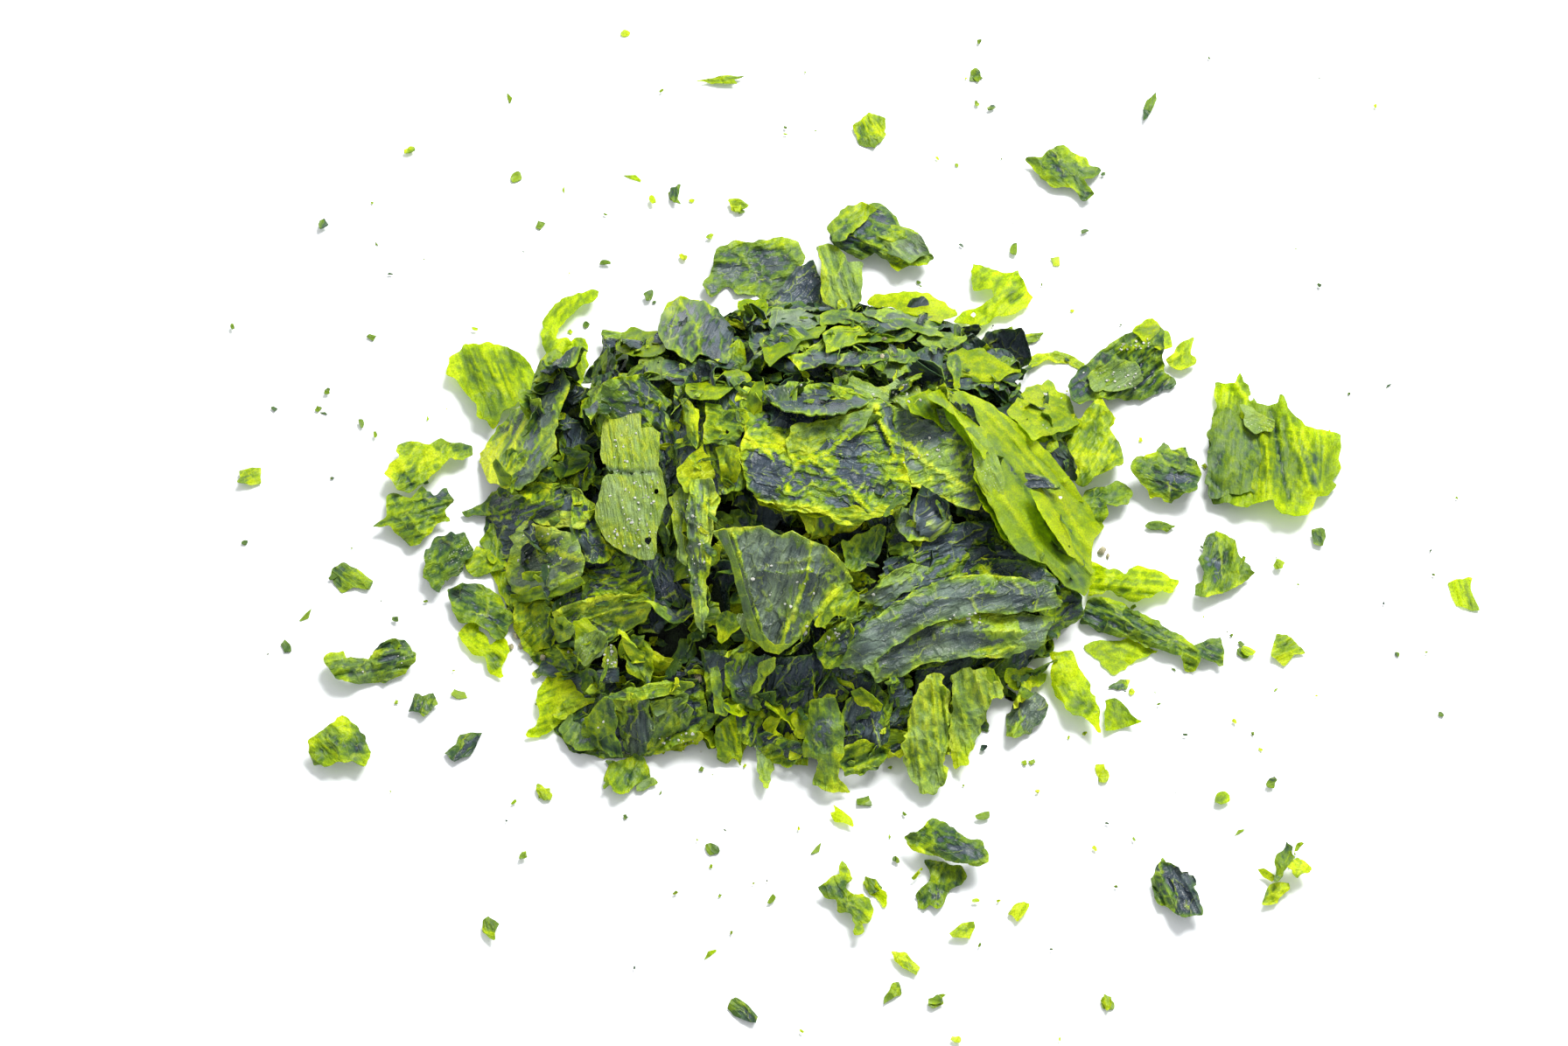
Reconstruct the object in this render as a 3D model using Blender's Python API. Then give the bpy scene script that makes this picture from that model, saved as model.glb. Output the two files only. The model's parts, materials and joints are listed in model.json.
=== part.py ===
"""Dried sea lettuce: a loose heap of torn, crumpled flakes with smaller flakes strewn round it.

The heap is one solid out to its uneven outline, a mound that large tilted slabs of pressed leaf
lie on. Every flake that lies clear of the heap is a solid of its own: a thin, wavy plate with
a torn rim. Sizes are in millimetres up to the last step, and the table is the plane z = 0.
"""

import math
import random
from collections import namedtuple

import bmesh
import bpy

MM = 0.001
NAME = "dried_sea_lettuce"

# Places are measured from the middle of the picture on the table. MIDDLE is the middle of the
# whole strewn layout, which becomes the origin.
MIDDLE = (16.4, 4.1)

# The heap: its centre, how far its foot reaches every 15 degrees, and the mound under its slabs.
HEAP_CENTRE = (-3.5, -0.5)
HEAP_REACH = (74, 76, 77, 76, 73, 68, 64, 64, 64, 64, 64, 64,
              62, 60, 61, 64, 70, 65, 64, 71, 74, 76, 77, 75)
HEAP_CELLS = 42
MOUND_PEAK = 31.0
MOUND_FALL = 2.3
RIM_HEIGHT = 2.5
RIM_WAVE = 0.035
STEP_WIDTH = 0.16
LUMP_HEIGHT = 1.6

# A slab lies on the mound: centre, height of its middle, length, width, turn, and how steeply
# its top climbs towards +X and towards +Y, in degrees.
Slab = namedtuple("Slab", "name x y top length width turn climb_x climb_y")
SLABS = (
    Slab("mosaic slab", 9, -5, 37, 46, 34, 0, -3, 13),
    Slab("dark faceted piece", 0, -36, 24, 34, 22, 0, 0, 42),
    Slab("pale flake", -38, -1, 23, 18, 34, 0, 4, 36),
    Slab("striped blade", -63, 18, 15, 38, 14, 62, 8, 20),
    Slab("grey-green slabs", -50, -22, 17, 36, 26, 8, 16, 20),
    Slab("long ribbon", 55, -9, 23, 72, 18, -45, -20, 20),
    Slab("blue-grey slab", 37, -4, 32, 24, 26, 0, -4, 14),
    Slab("curved slabs", 41, -37, 15, 62, 22, 16, -3, 26),
    Slab("crumpled column", -17, 3, 36, 16, 32, 0, 4, 10),
    Slab("upright stack", -22, -26, 20, 13, 36, 0, 0, 35),
    Slab("box fold", -22, 47, 15, 19, 18, -10, 5, -14),
    Slab("back fold", -1, 43, 17, 22, 17, 5, 0, -10),
    Slab("back flake", 29, 54, 10, 24, 13, -8, -3, -12),
    Slab("back right flakes", 46, 40, 13, 24, 20, -20, -8, -8),
    Slab("right flake", 58, 22, 15, 24, 18, 10, -12, -6),
    Slab("front clump", -35, -54, 9, 34, 16, 12, 6, 12),
    Slab("front left crumple", -42, -37, 12, 26, 18, 0, 10, 15),
    Slab("hanging flakes", 36, -56, 7, 28, 20, 0, -4, 14),
    Slab("front strips", 14, -56, 7, 26, 18, 0, 0, 16),
)

# A flake lies on the table: centre, length, width, turn in degrees and height of its waves.
Flake = namedtuple("Flake", "name x y length width turn height")
THIN = 0.9  # thickness of a pressed flake
LARGE = 14.0  # a flake this long has the finer net
RAGGED = 0.11  # how deep the rim's tears go, as a share of its reach

RIM_FLAKES = (
    Flake("long_fold_right", 91.5, -35.5, 34, 9, -24, 6),
    Flake("clump_right", 89, 43, 25, 17, 12, 11),
    Flake("chevron_back", 57, 71, 17, 17, 40, 4),
    Flake("clump_back", 25, 83, 25, 17, -25, 12),
    Flake("mottled_back", -9, 77, 26, 16, -4, 5),
    Flake("curled_sliver", -54, 60, 21, 6, 52, 5),
    Flake("fan_left", -77, 42, 20, 17, 100, 5),
    Flake("folded_left", -89, 15, 20, 11, 6, 7),
    Flake("layered_left", -91, -1, 17, 12, -10, 6),
    Flake("crinkled_left", -83, -15, 12, 13, 0, 7),
    Flake("green_left", -78, -29, 13, 11, -15, 4),
    Flake("bright_left", -73, -42, 12, 11, -50, 4),
    Flake("bright_fan_front", -58, -57, 15, 12, 60, 4),
    Flake("crumb_clump_front", -37, -79, 12, 8, 15, 5),
    Flake("bright_fold_right", 77, -54, 21, 14, -35, 4),
    Flake("curl_right", 82, 6, 12, 8, -10, 6),
    Flake("blade_right", 89, -18, 22, 8, -14, 4),
    Flake("small_fold_right", 102, 50, 8, 8, 30, 4),
)
LOOSE_FLAKES = (
    (121.5, 22, 40, 35, 105, 9),
    (37, -95, 24, 20, 80, 6),
    (-100, -41, 23, 11, 10, 6),
    (96, 18, 17, 14, -10, 11),
    (109, -13, 19, 14, 88, 5),
    (-106, -63, 15, 13, 0, 5),
    (74, 112, 20, 11, 150, 6),
    (91, -103, 17, 11, 118, 8),
    (14, -105, 19, 10, 116, 5),
    (117, -97, 18, 11, 62, 6),
    (23, 123, 13, 10, 115, 5),
    (-77, -66, 13, 6, 48, 3),
    (122, -36, 11, 7, 25, 3),
    (-107, -17, 11, 8, 140, 4),
    (167, -21, 11, 6, 100, 3),
    (-87, -53, 8, 7, 80, 3),
    (-18, 141, 15, 4, 0, 2),
    (-134, 12, 8, 6, 35, 2),
    (-9, -134, 9, 4, 134, 2),
    (42, -113, 7, 5, 43, 2),
    (93, -1.5, 8, 4, 178, 2),
    (14, -84, 8, 3, 138, 2),
    (21, -102, 6, 3, 123, 2),
    (-68, -113, 6, 4, 106, 2),
    (55, -108, 6, 4, 52, 2),
    (98, 133, 12, 3, 66, 2),
    (28, -121, 9, 4, 117, 2),
    (25, -129, 7, 3, 60, 2),
    (104, -78, 5, 4, 53, 2),
    (132, -5, 6, 4, 100, 2),
    (122, -13, 4, 3, 106, 1.5),
    (-57, -77, 6, 3, 133, 1.5),
    (-29, 102, 7, 3, 88, 1.5),
    (-12, 99, 6, 4, 175, 1.5),
    (35, -131, 5, 3, 38, 1.5),
    (112, -38, 4, 3, 139, 1.5),
    (74, -131, 4, 3, 109, 1.5),
    (64, 56, 5, 4, 5, 1.5),
    (76, -73, 5, 3, 74, 1.5),
    (52, 143, 5, 3, 94, 1.5),
)

SLATE_GREEN = (0.13, 0.19, 0.05)
LEAF_GREEN = (0.24, 0.36, 0.05)
LIME = (0.42, 0.55, 0.03)


def start_empty():
    """Clears the scene and makes the part's collection."""
    for thing in list(bpy.data.objects):
        bpy.data.objects.remove(thing, do_unlink=True)
    parts = bpy.data.collections.new(NAME)
    bpy.context.scene.collection.children.link(parts)
    return parts


def leaf_material(name, colour):
    """A plain, satin leaf material in one colour."""
    material = bpy.data.materials.new(name)
    material.use_nodes = True
    shader = material.node_tree.nodes["Principled BSDF"]
    shader.inputs["Base Color"].default_value = (*colour, 1.0)
    shader.inputs["Roughness"].default_value = 0.6
    shader.inputs["Metallic"].default_value = 0.0
    return material


def add_solid(parts, name, net, colour):
    """Turns a closed bmesh, in millimetres, into a named object in metres."""
    bmesh.ops.triangulate(net, faces=net.faces[:])
    bmesh.ops.recalc_face_normals(net, faces=net.faces[:])
    for vertex in net.verts:
        vertex.co.x = (vertex.co.x - MIDDLE[0]) * MM
        vertex.co.y = (vertex.co.y - MIDDLE[1]) * MM
        vertex.co.z *= MM
    mesh = bpy.data.meshes.new(name)
    net.to_mesh(mesh)
    net.free()
    solid = bpy.data.objects.new(name, mesh)
    solid.data.materials.append(leaf_material(name + "_leaf", colour))
    parts.objects.link(solid)
    return solid


def smooth_step(low, high, value):
    """0 below low, 1 above high, and a soft slope between them."""
    t = min(max((value - low) / (high - low), 0.0), 1.0)
    return t * t * (3.0 - 2.0 * t)


def turned(x, y, degrees):
    """A plan vector turned about Z."""
    c = math.cos(math.radians(degrees))
    s = math.sin(math.radians(degrees))
    return x * c - y * s, x * s + y * c


def heap_reach(angle):
    """How far the heap's foot lies from its centre in one direction, with small torn lobes."""
    places = len(HEAP_REACH)
    step = (angle / math.tau) % 1.0 * places
    first = int(step) % places
    share = smooth_step(0.0, 1.0, step - int(step))
    reach = HEAP_REACH[first] * (1 - share) + HEAP_REACH[(first + 1) % places] * share
    torn = math.sin(17 * angle + 0.7) + 0.6 * math.sin(29 * angle + 2.1)
    return reach * (1.0 + RIM_WAVE * 0.5 * torn)


def slab_height(slab, x, y, under):
    """The heap's height where a slab may lie: the slab's top inside it, else what is under it."""
    along, across = turned(x - slab.x, y - slab.y, -slab.turn)
    across_share = abs(2.0 * across / slab.width)
    edge = (abs(2.0 * along / slab.length) ** 4 + across_share**4) ** 0.25
    inside = 1.0 - smooth_step(1.0 - STEP_WIDTH, 1.0 + STEP_WIDTH, edge)
    top = slab.top
    top += (x - slab.x) * math.tan(math.radians(slab.climb_x))
    top += (y - slab.y) * math.tan(math.radians(slab.climb_y))
    return under + max(top - under, 0.0) * inside


def heap_height(x, y, share):
    """The heap's height over a plan spot that lies share of the way out to its foot."""
    lumps = math.sin(x * 0.31 + 1.3) * math.sin(y * 0.37) + math.sin(x * 0.43 - y * 0.29)
    mound = RIM_HEIGHT + (MOUND_PEAK - RIM_HEIGHT) * (1.0 - share**MOUND_FALL)
    height = mound + LUMP_HEIGHT * lumps * (1.0 - share**4)
    for slab in SLABS:
        height = slab_height(slab, x, y, height)
    return max(height, RIM_HEIGHT)


def make_heap(parts):
    """The heap: a grid drawn out to the foot's outline, lifted to the height, and closed below."""
    net = bmesh.new()
    bmesh.ops.create_grid(net, x_segments=HEAP_CELLS, y_segments=HEAP_CELLS, size=1.0)
    for vertex in net.verts:
        across, along = vertex.co.x, vertex.co.y
        disc_x = across * math.sqrt(1.0 - along * along / 2.0)
        disc_y = along * math.sqrt(1.0 - across * across / 2.0)
        share = min(math.hypot(disc_x, disc_y), 1.0)
        reach = heap_reach(math.atan2(disc_y, disc_x))
        x = HEAP_CENTRE[0] + disc_x * reach
        y = HEAP_CENTRE[1] + disc_y * reach
        vertex.co = (x, y, heap_height(x, y, share))
    rim = [edge for edge in net.edges if edge.is_boundary]
    wall = bmesh.ops.extrude_edge_only(net, edges=rim)["geom"]
    for vertex in (item for item in wall if isinstance(item, bmesh.types.BMVert)):
        vertex.co.z = 0.0
    foot = [edge for edge in net.edges if edge.is_boundary]
    bmesh.ops.contextual_create(net, geom=foot)
    return add_solid(parts, "heap", net, SLATE_GREEN)


def wave_height(flake, along, across, phase):
    """How far a flake's middle surface stands off the table, 0 to 1 over the flake."""
    fold = 0.5 + 0.5 * math.sin(2.6 * along + 1.4 * across + phase)
    curl = (0.7 * along) ** 2 + (0.6 * across) ** 2
    return 0.6 * fold + 0.4 * curl * min(flake.width / flake.length, 1.0)


def make_flake(parts, flake, colour):
    """One loose flake: a flattened ball, drawn out to a torn outline and laid in waves."""
    draw = random.Random(flake.name)
    phases = [draw.uniform(0.0, math.tau) for _ in range(4)]
    large = flake.length >= LARGE
    net = bmesh.new()
    bmesh.ops.create_uvsphere(
        net, u_segments=16 if large else 10, v_segments=6 if large else 4, radius=1.0
    )
    for vertex in net.verts:
        unit = vertex.co.copy()
        angle = math.atan2(unit.y, unit.x)
        torn = math.sin(3 * angle + phases[0]) + 0.8 * math.sin(5 * angle + phases[1])
        reach = 1.0 + RAGGED * torn
        lift = wave_height(flake, unit.x, unit.y, phases[2]) * (flake.height - THIN)
        x, y = turned(unit.x * reach * flake.length / 2, unit.y * reach * flake.width / 2,
                      flake.turn)
        vertex.co = (flake.x + x, flake.y + y, lift + unit.z * THIN / 2)
    lowest = min(vertex.co.z for vertex in net.verts)
    for vertex in net.verts:
        vertex.co.z -= lowest
    return add_solid(parts, flake.name, net, colour)


def make_part():
    """The heap, the flakes round its foot and the flakes strewn further out."""
    parts = start_empty()
    make_heap(parts)
    for flake in RIM_FLAKES:
        make_flake(parts, flake, LEAF_GREEN)
    for number, sizes in enumerate(LOOSE_FLAKES, start=1):
        make_flake(parts, Flake(f"loose_flake_{number:02d}", *sizes), LIME)


make_part()
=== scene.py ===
"""Dried sea lettuce: a loose heap of torn, crumpled leaf with flakes and crumbs strewn round it.

The heap's solid is replaced by a smaller core painted dark as the shade deep in the heap, a bed of
crumpled flakes laid over it, and the big leaves on top. Each flake that lies clear of the heap is a
piece of its own.
"""

import json
import math

import bpy
import numpy as np
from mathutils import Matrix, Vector
from mathutils.bvhtree import BVHTree

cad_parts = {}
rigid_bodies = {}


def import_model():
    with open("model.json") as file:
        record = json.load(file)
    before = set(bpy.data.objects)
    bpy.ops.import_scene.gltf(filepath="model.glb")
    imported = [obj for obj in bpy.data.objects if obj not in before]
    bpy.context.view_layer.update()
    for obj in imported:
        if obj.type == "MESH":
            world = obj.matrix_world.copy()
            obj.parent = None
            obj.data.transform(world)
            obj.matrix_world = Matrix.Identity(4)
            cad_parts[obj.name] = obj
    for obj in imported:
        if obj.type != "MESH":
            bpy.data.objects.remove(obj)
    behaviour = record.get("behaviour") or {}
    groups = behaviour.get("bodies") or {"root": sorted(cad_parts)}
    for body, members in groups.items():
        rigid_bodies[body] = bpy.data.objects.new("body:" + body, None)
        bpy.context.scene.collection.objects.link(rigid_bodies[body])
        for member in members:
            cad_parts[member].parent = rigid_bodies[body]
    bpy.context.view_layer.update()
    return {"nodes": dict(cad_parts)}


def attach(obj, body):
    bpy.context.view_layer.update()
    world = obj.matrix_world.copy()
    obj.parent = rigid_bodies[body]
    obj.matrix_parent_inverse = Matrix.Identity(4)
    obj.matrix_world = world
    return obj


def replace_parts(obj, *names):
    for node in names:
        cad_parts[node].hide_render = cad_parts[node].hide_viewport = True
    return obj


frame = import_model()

MM = 0.001

# ---------------------------------------------------------------- camera
PICTURE = (1792, 1196)
ELEVATION = math.radians(57)
DISTANCE = 0.92
LENS = 85.0
SENSOR = 36.0
PICTURE_MIDDLE = np.array([-0.0164, -0.0041, 0.0])  # what the lens looks at, on the table

AHEAD = np.array([0.0, math.cos(ELEVATION), -math.sin(ELEVATION)])
RIGHT = np.array([1.0, 0.0, 0.0])
UP = np.array([0.0, math.sin(ELEVATION), math.cos(ELEVATION)])
EYE = PICTURE_MIDDLE - AHEAD * DISTANCE
FOCAL = LENS / SENSOR * PICTURE[0]
SCALE = DISTANCE / FOCAL * 1000.0  # millimetres to a pixel at the middle of the table


def sight(spots):
    """Directions from the lens through these points of the picture, one deep along its axis."""
    spots = np.asarray(spots, float)
    across = (spots[:, 0] - PICTURE[0] / 2) / FOCAL
    down = (spots[:, 1] - PICTURE[1] / 2) / FOCAL
    return AHEAD + across[:, None] * RIGHT - down[:, None] * UP


def table_point(spot, height=0.0):
    """Where the line of sight through a point of the picture meets a level above the table."""
    way = sight([spot])[0]
    return EYE + way * (height - EYE[2]) / way[2]


def add_camera():
    """The camera, at the picture's angle and distance."""
    lens = bpy.data.cameras.new("camera")
    lens.lens = LENS
    lens.sensor_width = SENSOR
    lens.clip_start = 0.01
    camera = bpy.data.objects.new("camera", lens)
    bpy.context.scene.collection.objects.link(camera)
    camera.location = EYE
    camera.rotation_euler = (math.pi / 2 - ELEVATION, 0.0, 0.0)
    bpy.context.scene.camera = camera


# ---------------------------------------------------------------- waves, tears and creases
def squares(x, y, seed, least, most):
    """Where points lie in their unit squares, and what was drawn for a corner of those."""
    dice = np.random.default_rng(seed)
    order = dice.permutation(256)
    drawn = dice.uniform(least, most, 256)
    left = np.floor(x).astype(int)
    low = np.floor(y).astype(int)

    def corner(i, j):
        return drawn[order[(order[(left + i) % 256] + low + j) % 256]]

    return x - left, y - low, corner


def ripple(x, y, seed):
    """Smooth noise between about -1 and 1, with one bump to a unit."""
    u, v, turn_at = squares(x, y, seed, 0, 2 * math.pi)
    ease_u = u * u * u * (u * (u * 6 - 15) + 10)
    ease_v = v * v * v * (v * (v * 6 - 15) + 10)

    def corner(i, j):
        turn = turn_at(i, j)
        return np.cos(turn) * (u - i) + np.sin(turn) * (v - j)

    bottom = corner(0, 0) * (1 - ease_u) + corner(1, 0) * ease_u
    top = corner(0, 1) * (1 - ease_u) + corner(1, 1) * ease_u
    return 1.5 * (bottom * (1 - ease_v) + top * ease_v)


def zigzag(x):
    """A folded line between -1 and 1, with one fold up and one down to a unit."""
    return 4 * np.abs(x - np.floor(x + 0.5)) - 1


def as_points(row):
    """Points from a row of x and y, one after the other."""
    return np.reshape(row, (-1, 2)).astype(float)


def depth_inside(points, outline):
    """How far each point lies inside a closed outline; less than nothing outside it."""
    start = as_points(outline)
    end = np.roll(start, -1, axis=0)
    run = end - start
    away = points[:, None, :] - start[None]
    along = np.clip((away * run).sum(-1) / np.maximum((run * run).sum(-1), 1e-9), 0, 1)
    gap = away - along[..., None] * run[None]
    near = np.sqrt((gap * gap).sum(-1)).min(1)
    x, y = points[:, :1], points[:, 1:]
    spans = (start[:, 1] <= y) != (end[:, 1] <= y)
    rise = np.where(np.abs(run[:, 1]) < 1e-9, 1e-9, run[:, 1])
    crossing = start[:, 0] + (y - start[:, 1]) / rise * run[:, 0]
    odd = (spans & (x < crossing)).sum(1) % 2 == 1
    return np.where(odd, near, -near)


def facets(x, y, seed):
    """Heights between -1 and 1 of a surface made of flat triangles, about one to a unit."""
    u, v, corner = squares(x, y, seed, -1, 1)
    turned = corner(5, 9) > 0  # which of its two diagonals cuts each square
    u = np.where(turned, 1 - u, u)
    near = np.where(turned, corner(1, 0), corner(0, 0))
    side = np.where(turned, corner(0, 0), corner(1, 0))
    over = np.where(turned, corner(1, 1), corner(0, 1))
    far = np.where(turned, corner(0, 1), corner(1, 1))
    first = near + u * (side - near) + v * (over - near)
    second = far + (1 - u) * (over - far) + (1 - v) * (side - far)
    return np.where(u + v < 1, first, second)


def line_gap(points, line):
    """How far points lie from a bent line."""
    gaps = []
    for start, end in zip(line[:-1], line[1:]):
        run = end - start
        along = np.clip((points - start) @ run / max(run @ run, 1e-9), 0, 1)
        gaps.append(np.linalg.norm(points - start - along[:, None] * run, axis=1))
    return np.min(gaps, axis=0)


def crumpled(a, b, edge, seed, how):
    """Height of a dried leaf's folds in mm. a runs along its grain and b across it."""
    wide = max(np.abs(b).max(), 1.0)
    long = max(np.abs(a).max(), 1.0)
    rise = how["bow"] * (1 - (b / wide) ** 2) + how["arch"] * (1 - (a / long) ** 2)
    wander = ripple(a / 21, b / 9, seed + 1)
    fade = 0.6 + 0.5 * ripple(a / 14 + 3, b / 14, seed + 2)
    pleats = b / how["pleat_wave"] + 0.6 * wander
    rise += how["pleat"] * fade * (0.65 * zigzag(pleats) + 0.3 * zigzag(pleats * 2.3 + 0.4))
    bend = 1.6 * ripple(a / 8, b / 8, seed + 3)
    sway = 1.6 * ripple(a / 8, b / 8, seed + 4)
    for number, (size, height) in enumerate(((9.5, 2.3), (4.3, 1.0), (2.1, 0.42))):
        size *= how["crease_wave"]
        rise += how["crease"] * height * facets((a + bend) / size / 1.25, (b + sway) / size,
                                                seed + 5 + number)
    rise += how["crinkle"] * (facets(a / 1.5, b / 1.2, seed + 15)
                              + ripple(a / 1.9, b / 1.5, seed + 17))
    curl = np.exp(-np.maximum(edge, 0) / 1.7)
    frill = 0.2 + ripple(a / 6.5, b / 6.5, seed + 9) + 0.55 * facets(a / 2.4, b / 2.4, seed + 10)
    return rise + how["curl"] * curl * frill


# ---------------------------------------------------------------- finishes
LEAF_LIGHT = 1.42  # how bright white would show where the leaf is seen in full light
TABLE_LIGHT = 1.04
SALT_LIGHT = 1.05


def albedo(red, green, blue, light=LEAF_LIGHT):
    """A colour as it shows in full light, turned into what the surface sends back."""
    values = []
    for value in (red, green, blue):
        value = value / 255
        linear = value / 12.92 if value < 0.04045 else ((value + 0.055) / 1.055) ** 2.4
        values.append(linear / light)
    return (*values, 1.0)


class Varying:
    """A number that changes over the surface. Working with it adds Math nodes to its tree."""

    def __init__(self, make, socket):
        self.make = make
        self.socket = socket

    def __add__(self, other):
        return self.make.sum("ADD", self, other)

    def __sub__(self, other):
        return self.make.sum("SUBTRACT", self, other)

    def __rsub__(self, other):
        return self.make.sum("SUBTRACT", other, self)

    def __mul__(self, other):
        return self.make.sum("MULTIPLY", self, other)

    def __truediv__(self, other):
        return self.make.sum("DIVIDE", self, other)

    def held(self):
        """The same number, held between 0 and 1."""
        self.socket.node.use_clamp = True
        return self


class Recipe:
    """Adds nodes to a tree and joins them up."""

    def __init__(self, tree):
        self.tree = tree

    def add(self, kind, *values, **inputs):
        """A node. values go to its first sockets and inputs to the sockets of those names."""
        node = self.tree.nodes.new(kind)
        for name, value in (*enumerate(values), *inputs.items()):
            self.put(node, name, value)
        return node

    def put(self, node, name, value):
        """Joins or sets one of a node's sockets, given by its name or number."""
        if isinstance(value, Varying):
            value = value.socket
        if isinstance(value, bpy.types.NodeSocket):
            self.tree.links.new(value, node.inputs[name])
        else:
            node.inputs[name].default_value = value

    def sum(self, operation, *values):
        """A Math node's result."""
        node = self.add("ShaderNodeMath", *values)
        node.operation = operation
        return Varying(self, node.outputs[0])

    def moved(self, operation, *values):
        """A Vector Math node's result."""
        node = self.add("ShaderNodeVectorMath", *values)
        node.operation = operation
        return node.outputs[0]

    def between(self, value, low, high, start=0.0, end=1.0):
        """value, taken from low..high to start..end and held there."""
        return Varying(self, self.add("ShaderNodeMapRange", value, low, high, start, end).outputs[0])

    def cells(self, vector, scale, feature="F1"):
        """A Voronoi Texture over a map."""
        node = self.add("ShaderNodeTexVoronoi", Vector=vector, Scale=scale)
        node.voronoi_dimensions = "2D"
        node.feature = feature
        return node.outputs

    def noise(self, vector, scale, detail=3.0, roughness=0.6, flat=True):
        """A Noise Texture, over a map or, if not flat, through space."""
        node = self.add("ShaderNodeTexNoise", Vector=vector, Scale=scale, Detail=detail,
                        Roughness=roughness)
        node.noise_dimensions = "2D" if flat else "3D"
        return node.outputs

    def grain(self, *how, **more):
        """A Noise Texture's value."""
        return Varying(self, self.noise(*how, **more)["Fac"])

    def part(self, colour, number):
        """The red, green or blue of a colour."""
        return Varying(self, self.add("ShaderNodeSeparateColor", colour).outputs[number])

    def blend(self, factor, first, second):
        """A mix of two colours."""
        node = self.tree.nodes.new("ShaderNodeMix")
        node.data_type = "RGBA"
        for place, value in ((0, factor), (6, first), (7, second)):
            self.put(node, place, value)
        return node.outputs[2]

    def ramp(self, value, stops):
        """A colour ramp of these places and colours."""
        ramp = self.add("ShaderNodeValToRGB", value)
        elements = ramp.color_ramp.elements
        elements.remove(elements[-1])
        for number, (place, colour) in enumerate(stops):
            stop = elements[0] if number == 0 else elements.new(place)
            stop.position = place
            stop.color = albedo(*colour)
        return ramp.outputs["Color"]


LEAF_TONES = (
    (0.00, (226, 240, 26)),
    (0.12, (205, 226, 8)),
    (0.26, (164, 195, 20)),
    (0.42, (125, 160, 28)),
    (0.56, (94, 128, 36)),
    (0.70, (61, 97, 42)),
    (0.84, (36, 68, 46)),
    (1.00, (28, 44, 42)),
)
# slate blue-grey: the dark doubled leaf, with a painted bluish sheen of reflected light
SLATE_TONES = ((0.30, (46, 55, 74)), (0.55, (74, 86, 102)), (0.75, (108, 126, 134)))
BLOOM_TONE = (184, 210, 138)
VEIN_TONE = (190, 216, 50)
SALT_TONE = (250, 250, 232)


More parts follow.
